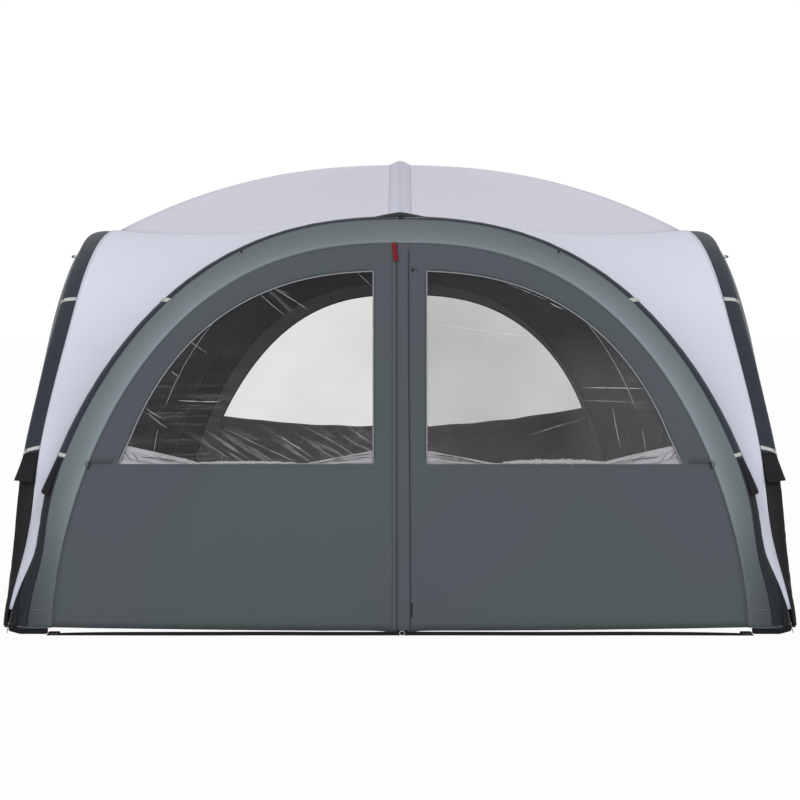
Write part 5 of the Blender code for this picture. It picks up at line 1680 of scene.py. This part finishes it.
def build_pad(side):
    """Black corner cup: a thick base with rounded edges, an upstand on its cut corner, and a peg knob."""
    cut = PAD_OUTER - PAD_CHAMFER
    deep = CUP_INNER + CUP_TAPER
    outline = rounded_outline([
        (-deep, -deep), (-CUP_INNER, -PAD_OUTER + 0.02), (-CUP_INNER, -PAD_OUTER), (-cut, -PAD_OUTER),
        (-PAD_OUTER, -cut), (-PAD_OUTER, -CUP_INNER), (-PAD_OUTER + 0.02, -CUP_INNER)], 0.008)
    centre = outline.mean(axis=0)
    levels = [(0.0, 0.0), (0.94, 0.0), (1.0, 0.006), (1.0, 0.022), (0.96, PAD_HEIGHT), (0.0, PAD_HEIGHT)]
    rings = []
    for share, height in levels:
        ring = centre + (outline - centre) * max(share, 1e-4)
        ring = np.concatenate([ring, ring[:1]])
        rings.append(np.column_stack([ring, np.full(len(ring), height)]))
    grid = turned(side, np.stack(rings))
    label = CORNERS[side]
    weld(trim_piece(f"corner_cup_{label}", grid, "boot", "tent",
                    replaces=[f"corner_boot_{label}"]))
    middle = PAD_OUTER - PAD_CHAMFER / 2
    along = np.linspace(-1, 1, 15)
    reach = PAD_CHAMFER / 2 + 0.012
    x = -(middle - 0.001) - along * reach * 0.96
    y = -(middle - 0.001) + along * reach * 0.96
    rise = np.linspace(0, 1, 6)
    lean = 0.004 * rise ** 2
    height = PAD_HEIGHT * 0.6 + rise[:, None] * (0.036 + 0.006 * (1 - along ** 2))[None, :]
    wander = waves(along * 0.1, 401 + side, 0.08, 0.0015)
    shift = (lean[:, None] + wander * rise[:, None]) * 0.7
    lip = turned(side, xyz(x + shift, y + shift, height))
    trim_piece(f"corner_lip_{label}", outwards(lip, (0, 0, 0.05)), "boot", "tent", 0.003)
    start = np.array([-middle - 0.006, -middle + 0.006, 0.048])
    path = smooth_path(start + np.array([(0.004, 0.004, 0), (0, 0, 0), (-0.008, -0.008, -0.002),
                                         (-0.014, -0.014, -0.001)]), 5)
    radius = np.interp(np.linspace(0, 1, len(path)), [0, 0.55, 0.75, 1], [0.004, 0.004, 0.0068, 0.0062])
    rod(f"peg_knob_{label}", turned(side, path), radius, "plastic", "tent", 14)


def weld(obj):
    """Merge the points where a grid closes on itself, and point the faces out."""
    bm = bmesh.new()
    bm.from_mesh(obj.data)
    bmesh.ops.remove_doubles(bm, verts=bm.verts, dist=3e-5)
    bmesh.ops.recalc_face_normals(bm, faces=bm.faces)
    bm.to_mesh(obj.data)
    bm.free()


def block(name, centre, size, side):
    """A rounded block of moulded plastic, turned to its side of the tent."""
    bm = bmesh.new()
    bmesh.ops.create_cube(bm, size=1.0)
    corners = np.array([vertex.co[:] for vertex in bm.verts]) * np.array(size) + np.array(centre)
    corners = turned(side, corners)
    for vertex, corner in zip(bm.verts, corners):
        vertex.co = corner
    bmesh.ops.bevel(bm, geom=bm.edges[:], offset=BLOCK_BEVEL, segments=3, profile=0.6, affect="EDGES")
    bmesh.ops.recalc_face_normals(bm, faces=bm.faces)
    mesh = bpy.data.meshes.new(name)
    bm.to_mesh(mesh)
    bm.free()
    mesh.uv_layers.new(name="cloth")
    mesh.materials.append(PAINTS["plastic"])
    mesh.shade_smooth()
    return joined(new_object(name, mesh), "tent")


def build_strap(side):
    """Ground strap with a ladder buckle at each end, and a hook and ring at its middle."""
    label = SIDES[side]
    middle = -(STRAP_OUTER - STRAP_WIDTH / 2) - 0.010
    x = np.linspace(-(CUP_INNER - 0.0005), CUP_INNER - 0.0005, 160)
    share = np.linspace(-0.5, 0.5, 5)
    twist = waves(x, 421 + side, 0.9, 0.0015)
    y = middle + share[None, :] * STRAP_WIDTH + twist[:, None]
    tilt = STRAP_TILT * (1 - (x / CUP_INNER) ** 8)[:, None] * (share[None, :] + 0.5)
    z = 0.0024 + 0.0004 * np.sin(7 * x)[:, None] + tilt
    grid = turned(side, xyz(x[:, None], y, z))
    cloth_piece(f"ground_webbing_{label}", outwards(grid, (0, 0, -1.0)), "strap", "tent",
                [f"ground_strap_{label}"])
    for end in (-1, 1):
        x = end * (CUP_INNER - BUCKLE_IN)
        for part, dx in enumerate((-BUCKLE_STEP, 0.0, BUCKLE_STEP)):
            block(f"buckle_bar_{label}_{end + 1}_{part}", (x + dx, middle, 0.0085), BUCKLE_BAR, side)
        for part, dy in enumerate((-BUCKLE_SIDE, BUCKLE_SIDE)):
            block(f"buckle_rail_{label}_{end + 1}_{part}", (x, middle + dy, 0.008), BUCKLE_RAIL, side)
    build_hook(side)


def build_hook(side):
    """Two-pronged hook and a ring that hold the hem down at the strap's middle."""
    label = SIDES[side]
    hook_y = -(STRAP_OUTER + 0.002)
    for part, dx in enumerate((-0.020, 0.020)):
        middle = HOOK_X + dx
        path = smooth_path([
            (middle - dx * 0.3, hook_y + 0.020, 0.014), (middle, hook_y + 0.006, 0.013),
            (middle + dx * 0.2, hook_y - 0.003, 0.008), (middle, hook_y - 0.006, 0.0065)], 6)
        rod(f"hem_hook_{label}_{part}", turned(side, path), HOOK_RADIUS, "plastic", "tent", 12)
    path = loop_about(np.array([HOOK_X, hook_y - 0.003, 0.0115]), (0.012, 0, 0), (0, 0.004, 0.009))
    trim_piece(f"hem_ring_{label}", tube_grid(turned(side, path), 0.0019, 8), "steel", "tent")


def build_placket_toggle():
    """Small black toggle and loop on the placket's edge, a little below its top."""
    x = ZIP_X + PLACKET_WIDTH + 0.015
    centre = on_wall(0, x, PLACKET_TOGGLE_HEIGHT, -0.008)
    path = centre + np.linspace(-1, 1, 5)[:, None] * np.array([0.0, 0.0, 0.004])
    rod("placket_toggle", path, PLACKET_TOGGLE_RADIUS, "plastic", "door_right", 12)
    loop = smooth_path(on_wall(0, x, PLACKET_TOGGLE_HEIGHT, -0.004) + np.array([
        (0, 0, 0), (0.010, -0.002, 0.001), (0.022, 0.001, 0.0), (0.026, 0.004, 0)]), 5)
    rod("placket_toggle_loop", loop, 0.0010, "plastic", "door_right")


def build_sleeve_loops():
    """Small black webbing loops that stand off the outer shoulders of the arches."""
    for side in range(4):
        for sign in (1, -1):
            row = leg_rows(sign, GUY_LOOP_HEIGHT, GUY_LOOP_HEIGHT + 0.01, 1)[:1]
            base = on_arch(side, row, [BAND_WIDTH - 0.004], [0.002])[0, 0]
            out = unit(side_facing(side))
            path = smooth_path([base + out * reach - [0, 0, drop] for reach, drop in (
                (0, 0), (0.012, 0.001), (0.018, 0.006), (0.002, 0.010))], 5)
            rod(f"guy_loop_{corner_of(side, sign)}_{SIDES[side]}", path, GUY_LOOP_RADIUS, "boot", "tent")


def build_toggles():
    """Tie-back toggles on the band beside the doorway, each with its elastic loop."""
    for sign, label in ((1, "right"), (-1, "left")):
        rows = leg_rows(sign, WINDOW_SILL - TOGGLE_BELOW, WINDOW_SILL - TOGGLE_BELOW + 0.022, 8)
        n = -band_rise(rows, TOGGLE_ACROSS) - 0.0056
        path = on_arch(0, rows, [TOGGLE_ACROSS * BAND_WIDTH], n)[:, 0]
        radius = 0.0032 * (1 - 0.35 * np.cos(np.linspace(0, 2 * math.pi, len(path))) ** 2 * 0.5)
        rod(f"toggle_{label}", path, radius, "plastic", "tent", 12, [f"tieback_toggle_{label}"])
        up = unit(path[-1] - path[0])
        beside = np.cross(up, side_facing(0)) * sign
        middle = path.mean(axis=0) + side_facing(0) * 0.001 + beside * 0.009 + up * 0.004
        loop = loop_about(middle, 0.010 * beside, 0.012 * up)
        trim_piece(f"toggle_loop_{label}", tube_grid(loop, 0.0013, 8), "plastic", "tent")


def build_pull():
    """Red webbing: a loop sewn through the slider's eye, and the pull that hangs and swings from it."""
    low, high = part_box("zip_pull")
    top = np.array([(low.x + high.x) / 2, low.y - 0.0005, high.z - 0.001])
    along = np.linspace(0, 1, 24)[:, None]
    path = top + along * np.array([0.007, -LEAN * PULL_LENGTH, -PULL_LENGTH])
    grid = ribbon(path, side_facing(0), PULL_WIDTH, 7, 0.0014)
    trim_piece("pull_webbing", outwards(grid), "red", "pull", 0.0016, replaces=["zip_pull"])
    edges = [path[1:-1] + np.array([side * (PULL_WIDTH / 2 - 0.003), -0.0018, 0]) for side in (-1, 1)]
    stitch_row("pull_stitches", edges, side_facing(0), "coil", "pull", pitch=0.005, length=0.0035,
               width=0.0008)
    low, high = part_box("zip_slider")
    start = np.array([(low.x + high.x) / 2 - 0.002, low.y - 0.0022, high.z + 0.006])
    reach = start[2] - top[2]
    path = start + along * np.array([0.002, -LEAN * reach, -reach])
    loop = ribbon(path, side_facing(0), PULL_WIDTH * 0.94, 7, 0.0016)
    trim_piece("pull_loop", outwards(loop), "red", "slider", WEBBING)


def build_corner_cord(side):
    """Thin cord from a corner panel's tip down over the cup to the ground, and its small knot."""
    tip = -(PAD_OUTER - 0.028)
    start = np.array([tip, tip, SILVER_TIP + 0.004])
    path = smooth_path(start + np.array([
        (0, 0, 0), (-0.004, -0.004, -0.030), (-0.012, -0.010, -0.055), (-0.018, -0.016, -0.085),
        (-0.016, -0.020, -0.098)]), 6)
    label = CORNERS[side]
    rod(f"corner_cord_{label}", turned(side, path), CORD_RADIUS, "cord", "tent")
    angle = np.linspace(0, 2 * math.pi, 21)
    knot = path[12] + xyz(0.004 * np.cos(angle), 0.004 * np.sin(angle), 0.002 * np.sin(2 * angle))
    trim_piece(f"corner_knot_{label}", tube_grid(turned(side, knot), 0.0018, 8), "cord", "tent")


# Carried-over nodes get finished materials

def finish_nodes():
    """Beams, valves and the slider keep their frame meshes and take these materials."""
    finishes = {"beam": "beam", "air_valve": "plastic", "zip_slider": "metal"}
    for name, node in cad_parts.items():
        for start, paint in finishes.items():
            if name.startswith(start):
                node.data.materials.clear()
                node.data.materials.append(PAINTS[paint])


# Stage

def build_floor():
    """White floor that looks white to the camera and still keeps a soft shadow."""
    mesh = bpy.data.meshes.new("floor")
    corners = [(x * FLOOR_HALF, y * FLOOR_HALF, FLOOR_HEIGHT)
               for x, y in ((-1, -1), (1, -1), (1, 1), (-1, 1))]
    mesh.from_pydata(corners, [], [(0, 1, 2, 3)])
    new_object("floor", mesh)
    paint = Paint("floor_white")
    paint.feed("Base Color", (0.62, 0.62, 0.62, 1.0))
    paint.feed("Roughness", 0.9)
    paint.feed("Specular IOR Level", 0.0)
    glow = paint.put("ShaderNodeEmission", {}, {"Color": (1.0, 1.0, 1.0, 1.0), "Strength": 1.02})
    rays = paint.put("ShaderNodeLightPath", {}, {}).socket.node
    seen = Value(paint, rays.outputs["Is Camera Ray"]) * 0.94
    mixed = paint.put("ShaderNodeMixShader", {}, {0: seen, 2: glow})
    paint.tree.links.new(paint.shader.outputs[0], mixed.socket.node.inputs[1])
    paint.tree.links.new(mixed.socket, paint.output.inputs["Surface"])
    mesh.materials.append(paint.material)


def build_surround():
    """Surround that lights the tent with one level and shows as white behind it and through its films."""
    world = bpy.data.worlds.new("surround")
    bpy.context.scene.world = world
    world.use_nodes = True
    tree = world.node_tree
    background = tree.nodes["Background"]
    background.inputs["Color"].default_value = (0.96, 0.97, 1.0, 1.0)
    background.inputs["Strength"].default_value = WORLD_LEVEL
    white = tree.nodes.new("ShaderNodeBackground")
    white.inputs["Color"].default_value = (1.0, 1.0, 1.0, 1.0)
    white.inputs["Strength"].default_value = 1.0
    rays = tree.nodes.new("ShaderNodeLightPath")
    either = tree.nodes.new("ShaderNodeMath")
    either.operation = "MAXIMUM"
    tree.links.new(rays.outputs["Is Camera Ray"], either.inputs[0])
    tree.links.new(rays.outputs["Is Transmission Ray"], either.inputs[1])
    mix = tree.nodes.new("ShaderNodeMixShader")
    tree.links.new(either.outputs[0], mix.inputs[0])
    tree.links.new(background.outputs[0], mix.inputs[1])
    tree.links.new(white.outputs[0], mix.inputs[2])
    tree.links.new(mix.outputs[0], tree.nodes["World Output"].inputs["Surface"])


def build_lamps():
    """Soft key light from the front and above, and a weak fill."""
    for name, energy, width, direction in LAMPS:
        light = bpy.data.lights.new(name, "SUN")
        light.energy = energy
        light.angle = math.radians(width)
        lamp = new_object(name, light)
        lamp.rotation_euler = Vector(direction).to_track_quat("-Z", "Y").to_euler()


def build_camera():
    """Camera at eye level in front of the doorway."""
    data = bpy.data.cameras.new("camera")
    data.lens = CAMERA_LENS
    data.sensor_width = 36.0
    data.clip_end = 200.0
    camera = new_object("camera", data)
    camera.location = CAMERA_PLACE
    camera.rotation_euler = (math.radians(90 - CAMERA_PITCH), 0, 0)
    bpy.context.scene.camera = camera
    bpy.context.scene.view_settings.view_transform = "Standard"


build_floor()
build_surround()
build_lamps()
build_camera()
for number in range(4):
    build_band(number)
    build_strip(number)
    for leg in (1, -1):
        build_leg(number, leg)
    build_pad(number)
    build_strap(number)
    build_corner_cord(number)
build_canopy()
build_door("left", -1)
build_door("right", 1)
build_zip()
build_placket()
build_pull()
build_rear_wall()
build_side_wall(1)
build_side_wall(3)
for arch in range(4):
    build_sleeve_lining(arch)
build_toggles()
build_placket_toggle()
build_sleeve_loops()
finish_nodes()
